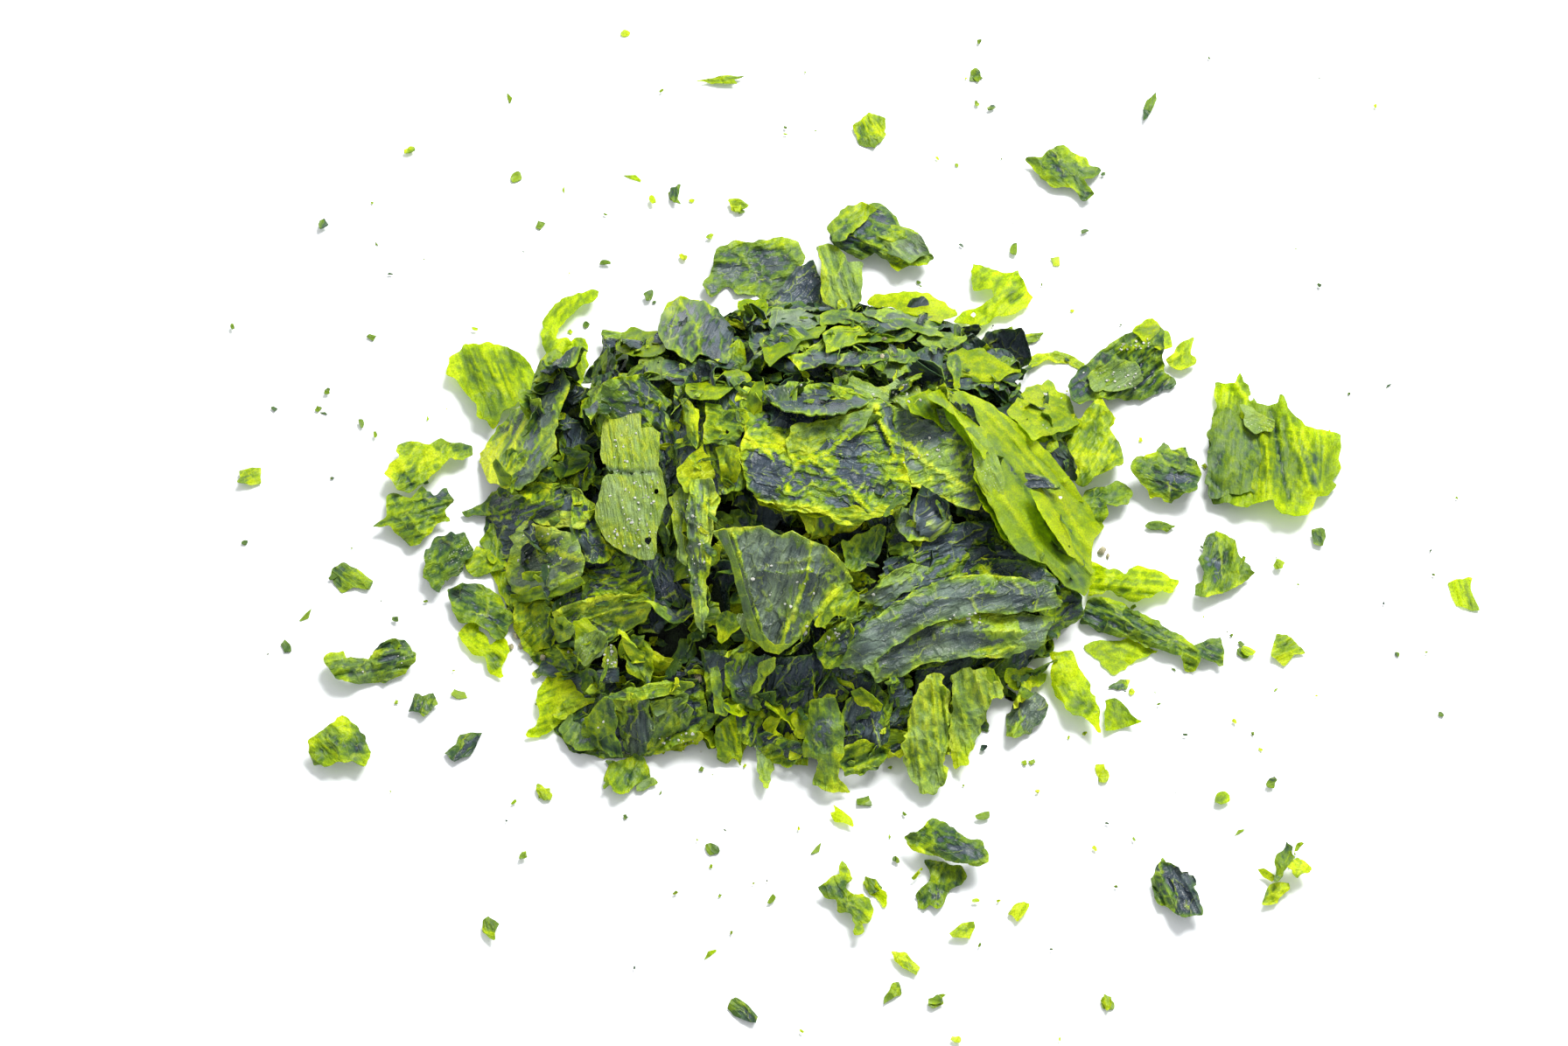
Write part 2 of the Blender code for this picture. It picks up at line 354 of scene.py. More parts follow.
def make_leaf_film():
    """The look of pressed, dried leaf: what its thickness, layers, fibres and salt do to it."""
    tree = bpy.data.node_groups.new("pressed leaf film", "ShaderNodeTree")
    for way, kind, names in (
        ("INPUT", "Vector", ["Along"]),
        ("INPUT", "Float", ["Thickness", "Bloom", "Rim", "Layers", "Slate", "Fibres", "Salt"]),
        ("OUTPUT", "Color", ["Color"]),
        ("OUTPUT", "Float", ["Roughness", "Height", "Thin"]),
    ):
        for name in names:
            tree.interface.new_socket(name, in_out=way, socket_type=f"NodeSocket{kind}")
    make = Recipe(tree)
    sockets = tree.nodes.new("NodeGroupInput").outputs
    given = {socket.name: Varying(make, socket) for socket in sockets}
    result = tree.nodes.new("NodeGroupOutput")
    along = given["Along"]
    layers = given["Layers"]
    fibres = given["Fibres"]

    # Places wander, so that the torn layers have no straight edges.
    wobble = make.noise(along, 150.0, 3.0, 0.66)["Color"]
    wandering = make.moved("MULTIPLY_ADD", wobble, (0.0036, 0.0036, 0.0), along)
    fibre_way = make.moved("MULTIPLY_ADD", wobble, (0.0014, 0.0014, 0.0), along)

    # Torn layers that lie over each other, long in the grain's direction.
    stretched = make.moved("MULTIPLY", wandering, (0.6, 1.25, 1.0))
    layer_tone = make.part(make.cells(stretched, 100.0)["Color"], 0)
    seam_gap = make.cells(stretched, 100.0, "DISTANCE_TO_EDGE")["Distance"]
    small_tone = make.part(make.cells(wandering, 300.0)["Color"], 1)
    crack_way = make.moved("MULTIPLY", wandering, (0.8, 1.6, 1.0))
    crack_gap = make.cells(crack_way, 230.0, "DISTANCE_TO_EDGE")["Distance"]

    cloud = make.grain(along, 85.0, 3.0, 0.66)
    patch = make.grain(wandering, 78.0, 3.0, 0.58)
    streak_way = make.moved("MULTIPLY", fibre_way, (110.0, 1400.0, 1.0))
    streak = make.grain(streak_way, 1.0, 3.0, 0.68)
    wide_way = make.moved("MULTIPLY", fibre_way, (50.0, 400.0, 1.0))
    wide_streak = make.grain(wide_way, 1.0, 2.0, 0.6)
    speck = make.grain(along, 2600.0, 1.0, 0.6)

    def swing(value, amount):
        """value about its middle, times amount."""
        return (value - 0.5) * amount

    # the leaf's thickness, with the painted light and shade of its rim, folds, ridges and the heap's
    # hollows added in
    tone = given["Thickness"] + swing(layer_tone, layers)
    tone += swing(small_tone, layers * 0.5)
    doubled = make.between(patch, 0.485, 0.515)
    tone += swing(doubled, layers * 0.75)
    tone += swing(cloud, 0.4)
    tone += swing(streak, fibres)
    tone += swing(wide_streak, fibres * 1.5)
    colour = make.ramp(tone, LEAF_TONES)

    # Where the leaf lies double and dark it looks slate blue, in patches with torn edges: the dark doubled
    # leaf's own colour, with the bluish-grey sheen of reflected light painted into it.
    depth = patch + swing(layer_tone, 1.0) * 0.22
    depth += swing(given["Thickness"], 0.5)
    from_level = 0.80 - given["Slate"] * 0.3
    slate = ((depth - from_level) / 0.025).held()
    slate *= (1.0 - given["Rim"]).held()
    slate_colour = make.ramp(cloud + swing(streak, 0.22), SLATE_TONES)
    colour = make.blend(slate * 0.9, colour, slate_colour)

    # The torn edge of a layer is thin and pale, and so are the leaf's veins and creases.
    broken = make.between(make.grain(along, 230.0, 2.0), 0.44, 0.58)
    seam_line = make.between(seam_gap, 0.0, 0.04, 1.5, 0.0) * layers
    crack_line = make.between(crack_gap, 0.0, 0.04, 0.9, 0.0) * layers
    line = (seam_line + crack_line) * broken
    colour = make.blend((line * 1.3).held(), colour, albedo(*VEIN_TONE))

    # Salt dries to a pale bloom in the hollows, and to grains.
    patchy = make.between(cloud * 0.6 + streak * 0.55, 0.45, 0.75)
    bloom = (given["Bloom"] * (patchy + 0.25)).held()
    colour = make.blend(bloom, colour, albedo(*BLOOM_TONE))
    grains = make.cells(along, 1500.0)
    sown = make.between(make.grain(along, 150.0, 2.0, 0.7), 0.5, 0.62)
    grain_spot = make.between(grains["Distance"], 0.10, 0.24, 1.0, 0.0)
    grain_spot *= make.between(make.part(grains["Color"], 0), 0.6, 0.65)
    grain_spot = (grain_spot * (sown * given["Salt"])).held()
    colour = make.blend(grain_spot, colour, albedo(*SALT_TONE))
    dapple = make.between(speck, 0.3, 0.7, 0.84, 1.16)
    dappled = make.add("ShaderNodeHueSaturation", Color=colour, Value=dapple)
    make.put(result, "Color", dappled.outputs[0])

    rough = swing(cloud, 0.4) + slate * -0.12 + bloom * 0.25 + swing(speck, 0.3)
    make.put(result, "Roughness", make.sum("MAXIMUM", rough + 0.44, 0.26))

    height = (streak + wide_streak * 1.2) * (fibres * 2.6 + 0.25)
    ridge = make.between(seam_gap, 0.0, 0.14, 1.4, 0.0)
    ridge += make.between(crack_gap, 0.0, 0.2, 0.9, 0.0)
    make.put(result, "Height", height + (ridge + layer_tone) * (layers * 1.5))
    make.put(result, "Thin", make.between(tone, 0.1, 0.8, 1.0, 0.08))
    return tree


def new_finish(name):
    """A material, its node tree, what adds nodes to that and its main shader."""
    material = bpy.data.materials.new(name)
    material.use_nodes = True
    tree = material.node_tree
    return material, tree, Recipe(tree), tree.nodes["Principled BSDF"]


def leaf_finish(name, film, layers, slate, fibres, salt, through, bump=0.0008):
    """A leaf material. through is how much of the light a thin place lets pass."""
    material, tree, make, shader = new_finish(name)
    look = tree.nodes.new("ShaderNodeGroup")
    look.node_tree = film
    place = tree.nodes.new("ShaderNodeUVMap")
    place.uv_map = "grain"
    make.put(look, "Along", place.outputs[0])
    for socket, attribute in (("Thickness", "thickness_with_painted_light"), ("Bloom", "bloom"), ("Rim", "rim")):
        kept = tree.nodes.new("ShaderNodeAttribute")
        kept.attribute_name = attribute
        make.put(look, socket, kept.outputs["Fac"])
    for socket, value in (("Layers", layers), ("Slate", slate), ("Fibres", fibres),
                          ("Salt", salt)):
        make.put(look, socket, value)
    raised = make.add("ShaderNodeBump", Height=look.outputs["Height"], Distance=bump)
    make.put(shader, "Base Color", look.outputs["Color"])
    make.put(shader, "Roughness", look.outputs["Roughness"])
    make.put(shader, "Normal", raised.outputs[0])
    shader.inputs["Specular IOR Level"].default_value = 0.26
    lit = make.add("ShaderNodeHueSaturation", Color=look.outputs["Color"], Saturation=1.12,
                   Value=1.5)
    glow = make.add("ShaderNodeBsdfTranslucent", Color=lit.outputs[0], Normal=raised.outputs[0])
    passed = make.sum("MULTIPLY", look.outputs["Thin"], through)
    mix = make.add("ShaderNodeMixShader", passed, shader.outputs[0], glow.outputs[0])
    make.put(tree.nodes["Material Output"], "Surface", mix.outputs[0])
    return material


def plain_finish(name, colour, roughness, spread, scale, light=LEAF_LIGHT):
    """A material whose colour varies softly, read from the place on the piece."""
    material, tree, make, shader = new_finish(name)
    place = tree.nodes.new("ShaderNodeTexCoord").outputs["Object"]
    cloud = make.grain(place, scale, 4.0, flat=False)
    fine = make.grain(place, scale * 9, 2.0, flat=False)
    dark = albedo(*(value * (1 - spread) for value in colour), light)
    pale = albedo(*(min(value * (1 + spread), 255) for value in colour), light)
    make.put(shader, "Base Color", make.blend(make.between(cloud, 0.35, 0.65), dark, pale))
    make.put(shader, "Roughness", make.between(fine, 0.3, 0.7, roughness - 0.1, roughness + 0.1))
    raised = make.add("ShaderNodeBump", Height=cloud + fine, Distance=0.0006)
    make.put(shader, "Normal", raised.outputs[0])
    return material


def table_finish(name, colour):
    """A plain white material."""
    material, _, _, shader = new_finish(name)
    shader.inputs["Base Color"].default_value = albedo(*colour, TABLE_LIGHT)
    shader.inputs["Roughness"].default_value = 0.7
    shader.inputs["Specular IOR Level"].default_value = 0.1
    return material


FILM = make_leaf_film()
FINISH = {
    # after the film: layers, slate, fibres, salt, the light let through and the bump in metres
    "thin": leaf_finish("thin lime leaf", FILM, 0.14, 0.10, 0.10, 0.10, 0.62, 0.0004),
    "leaf": leaf_finish("green leaf", FILM, 0.30, 0.32, 0.09, 0.15, 0.42, 0.0005),
    "slab": leaf_finish("pressed layered leaf", FILM, 0.40, 0.85, 0.08, 0.25, 0.22, 0.0008),
    "slate": leaf_finish("slate pressed leaf", FILM, 0.30, 1.05, 0.07, 0.30, 0.12, 0.0007),
    "salted": leaf_finish("salted pale leaf", FILM, 0.18, 0.10, 0.26, 0.60, 0.40),
}
# painted shade: the core's leaf is made near black, so that the gaps down to it show as deep shade
CORE_FINISH = plain_finish("packed leaf inside", (36, 48, 30), 0.8, 0.4, 260.0)
SALT_FINISH = plain_finish("sea salt", (250, 250, 240), 0.45, 0.02, 900.0, SALT_LIGHT)
SHELL_FINISH = plain_finish("shell crumb", (206, 196, 160), 0.5, 0.12, 500.0)
TABLE_FINISH = table_finish("white table", (246, 248, 250))


# ---------------------------------------------------------------- making a leaf
CRISP = math.radians(27)    # a sharper bend than this shows as a crease
TABLE_GAP = 0.35 * MM       # how close to the table a leaf's net comes
MARGIN = 1.2                # how far past its outline a leaf's net starts out, in mm
NUDGE = 0.15                # the step that the slope of its torn rim is measured over, in mm
MOST_SEEDS = 9973
USUAL = dict(
    uneven=0.14,        # how much the tone varies over the leaf
    glow_reach=1.0,     # how far in the rim's paler tone, partly a painted glow, runs, in mm
    bow=0.0, arch=0.0,  # how far the middle stands up, across the grain and along it, in mm
    pleat=0.5, pleat_wave=5.0,      # folds along the grain: height and spacing in mm
    crease=1.05, crease_wave=1.0,   # crumpled facets: height and size against the usual
    crinkle=0.2,        # the finest facets, in mm
    curl=1.3,           # how far the rim turns up or down, in mm
    tear=0.6,           # how far the rim is torn in and out, in mm
    tint=1.3,           # painted highlight on a ridge and painted shade in a valley: how much paler the one is than the other
    cell=0.66,          # the net's step, in mm
    wall=0.16,          # the leaf's thickness, in mm
    bloom=0.03,         # how much pale salt lies on it
    lean=(0.0, 0.0),    # how far its right and upper ends stand up, in mm
    holes=(),           # x, y and radius
    spots=(),           # x, y, radius and change of tone
    ridges=(),          # a line, its height in mm, its change of tone along it, painted light where paler and painted shade where darker, and its reach in mm
    fade=None,          # painted shade across the leaf: the way, in degrees, in which the tone rises, and by how much
    flat_on=None,       # the level in mm that a leaf clear of the heap lies on
)


def nothing_selected():
    """Deselects everything."""
    for thing in bpy.context.selected_objects:
        thing.select_set(False)


def take_up(piece):
    """Selects one piece alone, for the operators that follow."""
    nothing_selected()
    piece.select_set(True)
    bpy.context.view_layer.objects.active = piece


def read(things, what, width=1, kind=float):
    """One property of all a mesh's points, edges, faces or corners, a row for each."""
    values = np.empty(len(things) * width, kind)
    things.foreach_get(what, values)
    return values.reshape(-1, width) if width > 1 else values


def points_of(mesh):
    """The places of a mesh's points."""
    return read(mesh.vertices, "co", 3)


def cut_leaf(name, outline, cell, tear, holes, seed):
    """A flat net cut to a torn outline, in mm. Gives the piece, its points and their depth in."""
    low = outline.min(0) - MARGIN
    high = outline.max(0) + MARGIN
    steps = np.maximum(np.ceil((high - low) / cell).astype(int), 3)
    nothing_selected()
    bpy.ops.mesh.primitive_grid_add(x_subdivisions=int(steps[0]), y_subdivisions=int(steps[1]),
                                    size=1.0)
    piece = bpy.context.object
    piece.name = name
    mesh = piece.data
    mesh.name = name
    flat = (points_of(mesh)[:, :2] + 0.5) * (high - low) + low
    flat[:, 0] += 0.3 * cell * ripple(flat[:, 0] / cell / 2.3, flat[:, 1] / cell / 2.3, seed + 21)
    flat[:, 1] += 0.3 * cell * ripple(flat[:, 0] / cell / 2.3, flat[:, 1] / cell / 2.3, seed + 22)

    def torn(points):
        x, y = points[:, 0], points[:, 1]
        depth = depth_inside(points, outline)
        depth += tear * (0.6 * ripple(x / 2.9, y / 2.9, seed + 11)
                         + 0.75 * facets(x / 2.3, y / 2.3, seed + 12)
                         + 0.45 * facets(x / 1.15, y / 1.15, seed + 13))
        for hole_x, hole_y, reach in holes:
            ragged = 1 + 0.35 * ripple(x / 0.8, y / 0.8, seed + 14)
            depth = np.minimum(depth, np.hypot(x - hole_x, y - hole_y) - reach * ragged)
        return depth

    depth = torn(flat)
    quads = read(mesh.loops, "vertex_index", kind=int).reshape(-1, 4)
    kept = torn(flat[quads].mean(1)) > 0
    if kept.sum() < 3:
        kept[np.argsort(-depth[quads].mean(1))[:3]] = True
    mesh.vertices.foreach_set("co", np.column_stack([flat, np.zeros(len(flat))]).ravel())
    bpy.ops.object.mode_set(mode="EDIT")
    bpy.ops.mesh.select_mode(type="FACE")
    bpy.ops.mesh.select_all(action="DESELECT")
    bpy.ops.object.mode_set(mode="OBJECT")
    mesh.polygons.foreach_set("select", ~kept)
    bpy.ops.object.mode_set(mode="EDIT")
    bpy.ops.mesh.delete(type="FACE")
    bpy.ops.object.mode_set(mode="OBJECT")

    flat = points_of(mesh)[:, :2]
    rim = rim_points(mesh)
    for _ in range(2):
        here = flat[rim]
        value = torn(here)
        slope = np.column_stack([torn(here + (NUDGE, 0)) - value,
                                 torn(here + (0, NUDGE)) - value]) / NUDGE
        steep = np.maximum((slope * slope).sum(1), 0.25)
        move = -value[:, None] * slope / steep[:, None]
        size = np.maximum(np.hypot(*move.T), 1e-9)
        flat[rim] = here + move * np.minimum(1, 0.6 * cell / size)[:, None]
    return piece, flat, np.maximum(torn(flat), 0)


def rim_points(mesh):
    """Numbers of the points on the open edge of a net."""
    used = np.bincount(read(mesh.loops, "edge_index", kind=int), minlength=len(mesh.edges))
    return np.unique(read(mesh.edges, "vertices", 2, int)[used == 1])


def fold_lines(mesh, rise):
    """How a net folds at each point: less than nothing on a ridge, more in a valley."""
    ends = read(mesh.edges, "vertices", 2, int)
    one, other = ends.T
    count = len(rise)
    total = np.bincount(one, rise[other], count) + np.bincount(other, rise[one], count)
    return total / np.maximum(np.bincount(ends.ravel(), minlength=count), 1) - rise


def dress(piece, a, b, edge, seed, how, rise, extra=0.0):
    """Writes what the finish reads: the grain's map, the leaf's thickness with painted light and shade in
    it, how salted it is and how near the rim.
    """
    mesh = piece.data
    dice = np.random.default_rng(seed + 77)
    offset = dice.random(2) * 3
    grain = np.column_stack([a * MM + offset[0], b * MM + offset[1]])
    layer = mesh.uv_layers.new(name="grain")
    corners = read(mesh.loops, "vertex_index", kind=int)
    layer.data.foreach_set("uv", grain[corners].ravel())
    near_rim = np.exp(-edge / how["glow_reach"])
    uneven = 0.7 + 0.6 * ripple(a / 5, b / 5, seed + 31)
    thickness_with_painted_light = how["tone"] + how["uneven"] * ripple(a / 9, b / 6, seed + 32) + extra
    # painted glow: the rim is made paler, partly for its thin edge and partly for light shining through it
    thickness_with_painted_light = thickness_with_painted_light - how["glow"] * near_rim * uneven
    # painted highlight on ridges and painted shade in creases, from how the net folds at each point
    folds = how["tint"] * fold_lines(mesh, rise) / how["cell"]
    thickness_with_painted_light += np.clip(folds, -0.24, 0.26) * (1 - near_rim)
    bloom = np.clip(how["bloom"] * (1 + 0.8 * ripple(a / 7, b / 4, seed + 33)), 0, 1)
    for name, values in (("thickness_with_painted_light", thickness_with_painted_light), ("bloom", bloom), ("rim", near_rim)):
        made = mesh.attributes.new(name, "FLOAT", "POINT")
        made.data.foreach_set("value", np.asarray(values, np.float32))


def thicken(piece, thickness):
    """Gives a net its wall, in mm, and shades it smooth between its creases."""
    take_up(piece)
    wall = piece.modifiers.new("wall", "SOLIDIFY")
    wall.thickness = thickness * MM
    wall.offset = -1.0
    bpy.ops.object.modifier_apply(modifier="wall")
    bpy.ops.object.shade_smooth_by_angle(angle=CRISP)


def leaf(name, place, finish, lift, grain, tone, glow, outline, slot="pressed_leaf", **choices):
    """A leaf as it shows in the picture, laid on what lies behind it there.

    place is a point of the picture, from which the outline, spots, holes and ridges are measured.
    lift is how far off what is behind it the leaf lies, in mm, and grain how far its fibres are
    turned, in degrees. tone is the thickness and darkness it shows, from 0 to 1, and glow how much
    paler its rim is: partly its thin edge and partly a painted glow of light shining through it.
    The choices are those of USUAL.
    """
    how = {**USUAL, **choices, "tone": tone, "glow": glow}
    seed = sum(ord(letter) * weight for weight, letter in enumerate(name, 3)) % MOST_SEEDS
    shape = as_points(outline) + place
    middle = (shape.min(0) + shape.max(0)) / 2
    turn = math.radians(grain)
    along = np.array([math.cos(turn), -math.sin(turn)])
    across = np.array([math.sin(turn), math.cos(turn)]) * -1

    def to_leaf(row):
        away = (as_points(row) + place - middle) * SCALE
        return np.column_stack([away @ along, away @ across])

    def to_picture(flat):
        return middle + (flat[:, :1] * along + flat[:, 1:] * across) / SCALE

    holes = [(*to_leaf([x, y])[0], reach * SCALE) for x, y, reach in how["holes"]]
    piece, flat, edge = cut_leaf(name, to_leaf(outline), how["cell"], how["tear"], holes, seed)
    a, b = flat.T
    spots = to_picture(flat)
    rise = crumpled(a, b, edge, seed, how)
    size = np.maximum(shape.max(0) - shape.min(0), 1) / 2
    away = (spots - middle) / size
    extra = np.zeros(len(a))
    for x, y, reach, change in how["spots"]:
        spot = to_leaf([x, y])[0]
        gap = np.hypot(a - spot[0], b - spot[1]) / (reach * SCALE)
        gap += 0.25 * ripple(a / 2.5, b / 2.5, seed + 41)
        extra += change * np.clip(1.6 - 1.3 * gap, 0, 1)
    for line, height, change, *reach in how["ridges"]:
        gap = line_gap(flat, to_leaf(line))
        gap += 0.3 * ripple(a / 1.7, b / 1.7, seed + 51)
        rise += height * np.exp(-np.maximum(gap, 0) / (reach[0] if reach else 0.8))
        # the tone along a ridge line is painted: paler as a highlight on a fold, darker as shade in it
        extra += change * np.exp(-(gap / 0.75) ** 2)
    # painted shade: the tone rises across the leaf, one side darker than the other
    if how["fade"]:
        turn = math.radians(how["fade"][0])
        extra += how["fade"][1] * (away[:, 0] * math.cos(turn) - away[:, 1] * math.sin(turn))
    depth = lie_of_the_heap(shape, how["flat_on"])(spots)
    depth -= (lift + how["lean"][0] * away[:, 0] - how["lean"][1] * away[:, 1]) * MM
    places = EYE + sight(spots) * (depth - rise * MM)[:, None]
    low = places[:, 2] < TABLE_GAP
    places[low, 2] = TABLE_GAP + 0.12 * np.abs(rise[low]) * MM
    piece.data.vertices.foreach_set("co", places.ravel())

    dress(piece, a, b, edge, seed, how, rise, extra)
    face_the_lens(piece)
    thicken(piece, how["wall"])
    piece.data.materials.append(FINISH[finish])
    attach(piece, "root")
    return piece


def face_the_lens(piece):
    """Turns the net over if its faces point away from the camera."""
    mesh = piece.data
    if (read(mesh.polygons, "normal", 3) @ -AHEAD).mean() < 0:
        mesh.flip_normals()


# ---------------------------------------------------------------- the heap's lie
def heap_net():
    """The heap's own surface, for laying leaves on."""
    heap = frame["nodes"]["heap"]
    mesh = heap.data
    points = [heap.matrix_world @ vertex.co for vertex in mesh.vertices]
    faces = [tuple(face.vertices) for face in mesh.polygons]
    return BVHTree.FromPolygons(points, faces), points, faces


HEAP_TREE, HEAP_POINTS, HEAP_FACES = heap_net()


def lie_of_the_heap(outline, level=None):
    """A smooth depth over the picture, fitted to the heap behind an outline."""
    low, high = outline.min(0), outline.max(0)
    middle = (low + high) / 2
    half = np.maximum((high - low) / 2, 4)
    grid = np.stack(np.meshgrid(np.linspace(-1, 1, 9), np.linspace(-1, 1, 9)), -1).reshape(-1, 2)
    spots = middle + grid * half
    inside = depth_inside(spots, outline) > -2
    grid = np.vstack([grid[inside], (outline - middle) / half])
    spots = middle + grid * half
    depths = []
    for way in sight(spots):
        hit = None
        if level is None:
            hit = HEAP_TREE.ray_cast(Vector(EYE), Vector(way))[0]
        if hit is None:
            depths.append(((level or 0.0) * MM - EYE[2]) / way[2])
        else:
            depths.append((hit[1] - EYE[1]) / way[1])

    def terms(grid):
        x, y = grid.T
        return np.column_stack([np.ones(len(x)), x, y, x * x, x * y, y * y])

    stiff = np.diag([0, 0.01, 0.01, 1.2, 1.2, 1.2])
    table = terms(grid)
    fit = np.linalg.solve(table.T @ table + stiff * len(grid) * 0.12, table.T @ np.array(depths))
    return lambda spots: terms((spots - middle) / half) @ fit


# ---------------------------------------------------------------- lights and table
def add_lights():
    """A white room and one soft window, at the back on the right."""
    world = bpy.data.worlds.new("white room")
    bpy.context.scene.world = world
    world.use_nodes = True
    sky = world.node_tree.nodes["Background"]
    sky.inputs["Color"].default_value = (0.97, 0.985, 1.0, 1.0)
    sky.inputs["Strength"].default_value = 0.79
    lamp = bpy.data.lights.new("soft window", "AREA")
    lamp.shape = "RECTANGLE"
    lamp.size = 0.6
    lamp.size_y = 0.45
    lamp.energy = 25.0
    lamp.color = (1.0, 0.995, 0.98)
    window = bpy.data.objects.new("soft window", lamp)
    bpy.context.scene.collection.objects.link(window)
    window.location = (0.36, 0.52, 1.02)
    to_heap = Vector((0, 0, 0.01)) - window.location
    window.rotation_euler = to_heap.to_track_quat("-Z", "Y").to_euler()
    scene = bpy.context.scene
    scene.view_settings.view_transform = "Standard"
    scene.view_settings.look = "None"
    scene.view_settings.exposure = 0.0
    scene.view_settings.gamma = 1.0


def add_table():
    """The white table top."""
    nothing_selected()
    bpy.ops.mesh.primitive_plane_add(size=6.0, location=(0, 0, 0))
    table = bpy.context.object
    table.name = "table"
    table.data.materials.append(TABLE_FINISH)


# ---------------------------------------------------------------- the core
CORE_DEPTH = 7.0    # how far under the heap's outline the core lies, in mm
CORE_REACH = 0.94   # how wide and high it is against the heap


def add_core():
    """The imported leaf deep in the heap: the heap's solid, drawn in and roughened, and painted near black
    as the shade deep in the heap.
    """
    heap = frame["nodes"]["heap"]
    core = bpy.data.objects.new("heap_core", heap.data.copy())
    bpy.context.scene.collection.objects.link(core)
    core.data.materials.clear()
    take_up(core)
    bpy.ops.object.mode_set(mode="EDIT")
    bpy.ops.mesh.select_all(action="SELECT")
    bpy.ops.mesh.remove_doubles(threshold=0.00002)
    bpy.ops.mesh.normals_make_consistent(inside=False)
    bpy.ops.mesh.subdivide(number_cuts=2)
    bpy.ops.object.mode_set(mode="OBJECT")
    points = points_of(core.data)
    middle = points[:, :2].mean(0)
    x, y = ((points[:, :2] - middle) / MM).T
    drawn = middle + (points[:, :2] - middle) * CORE_REACH
    rough = (0.9 * ripple(x / 9, y / 9, 501) + 0.7 * zigzag(x / 11 + ripple(x / 9, y / 9, 502))
             + 0.7 * zigzag(y / 9 + ripple(x / 8, y / 8, 503)) + 0.35 * ripple(x / 3, y / 3, 504))
    height = np.maximum(points[:, 2] / MM - CORE_DEPTH, 0) * CORE_REACH
    height = np.where(points[:, 2] > 0.002, height + rough, 0)
    places = np.column_stack([drawn, np.maximum(height, 0) * MM])
    core.data.vertices.foreach_set("co", places.ravel())
    core.data.update()
    bpy.ops.object.shade_smooth_by_angle(angle=math.radians(35))
    core.data.materials.append(CORE_FINISH)
    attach(core, "root")
    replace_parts(core, "heap")


# ---------------------------------------------------------------- the big leaves
# The leaves that can be told apart in the heap, each traced from the picture.
def lay_under_leaves():
    """The broad leaves that the others lie on."""
    leaf("right_under_leaf", (940, 596), "slab", 0.8, 20, 0.74, 0.3,
        [0,166, 28,124, 60,76, 100,29, 145,4, 190,0, 225,26, 260,59, 296,86, 298,108, 265,134, 220,156,
        160,160, 100,172, 45,180], pleat=1.3, pleat_wave=5.5, crease=1.1, cell=0.75)
    leaf("left_under_leaf", (552, 548), "slab", 0.6, 20, 0.68, 0.3,
        [8,12, 58,0, 103,8, 138,42, 148,72, 193,102, 196,142, 148,188, 103,204, 56,194, 28,157, 20,102,
        0,62], pleat=1.2, pleat_wave=6, crease=1.4, cell=0.75)
    leaf("front_under_leaf", (618, 770), "slab", 1.2, 20, 0.72, 0.4,
        [0,16, 42,0, 102,0, 182,6, 190,45, 182,72, 127,94, 82,98, 32,90, 14,66, 22,42], pleat=1.4,
        pleat_wave=6, crease=1.2, cell=0.75)
    leaf("back_under_leaf", (850, 345), "slate", -2.0, 5, 0.95, 0.35,
        [0,15, 55,0, 140,5, 235,21, 300,65, 280,103, 200,95, 110,85, 50,85, 12,65], pleat=1.2,
        crease=1.4, cell=0.75)
    leaf("front_middle_under_leaf", (800, 740), "slab", 0.4, 70, 0.8, 0.35,
        [0,0, 70,10, 135,8, 185,30, 220,60, 215,110, 160,132, 105,120, 50,110, 12,86], pleat=1.3,
        crease=1.4, cell=0.75)


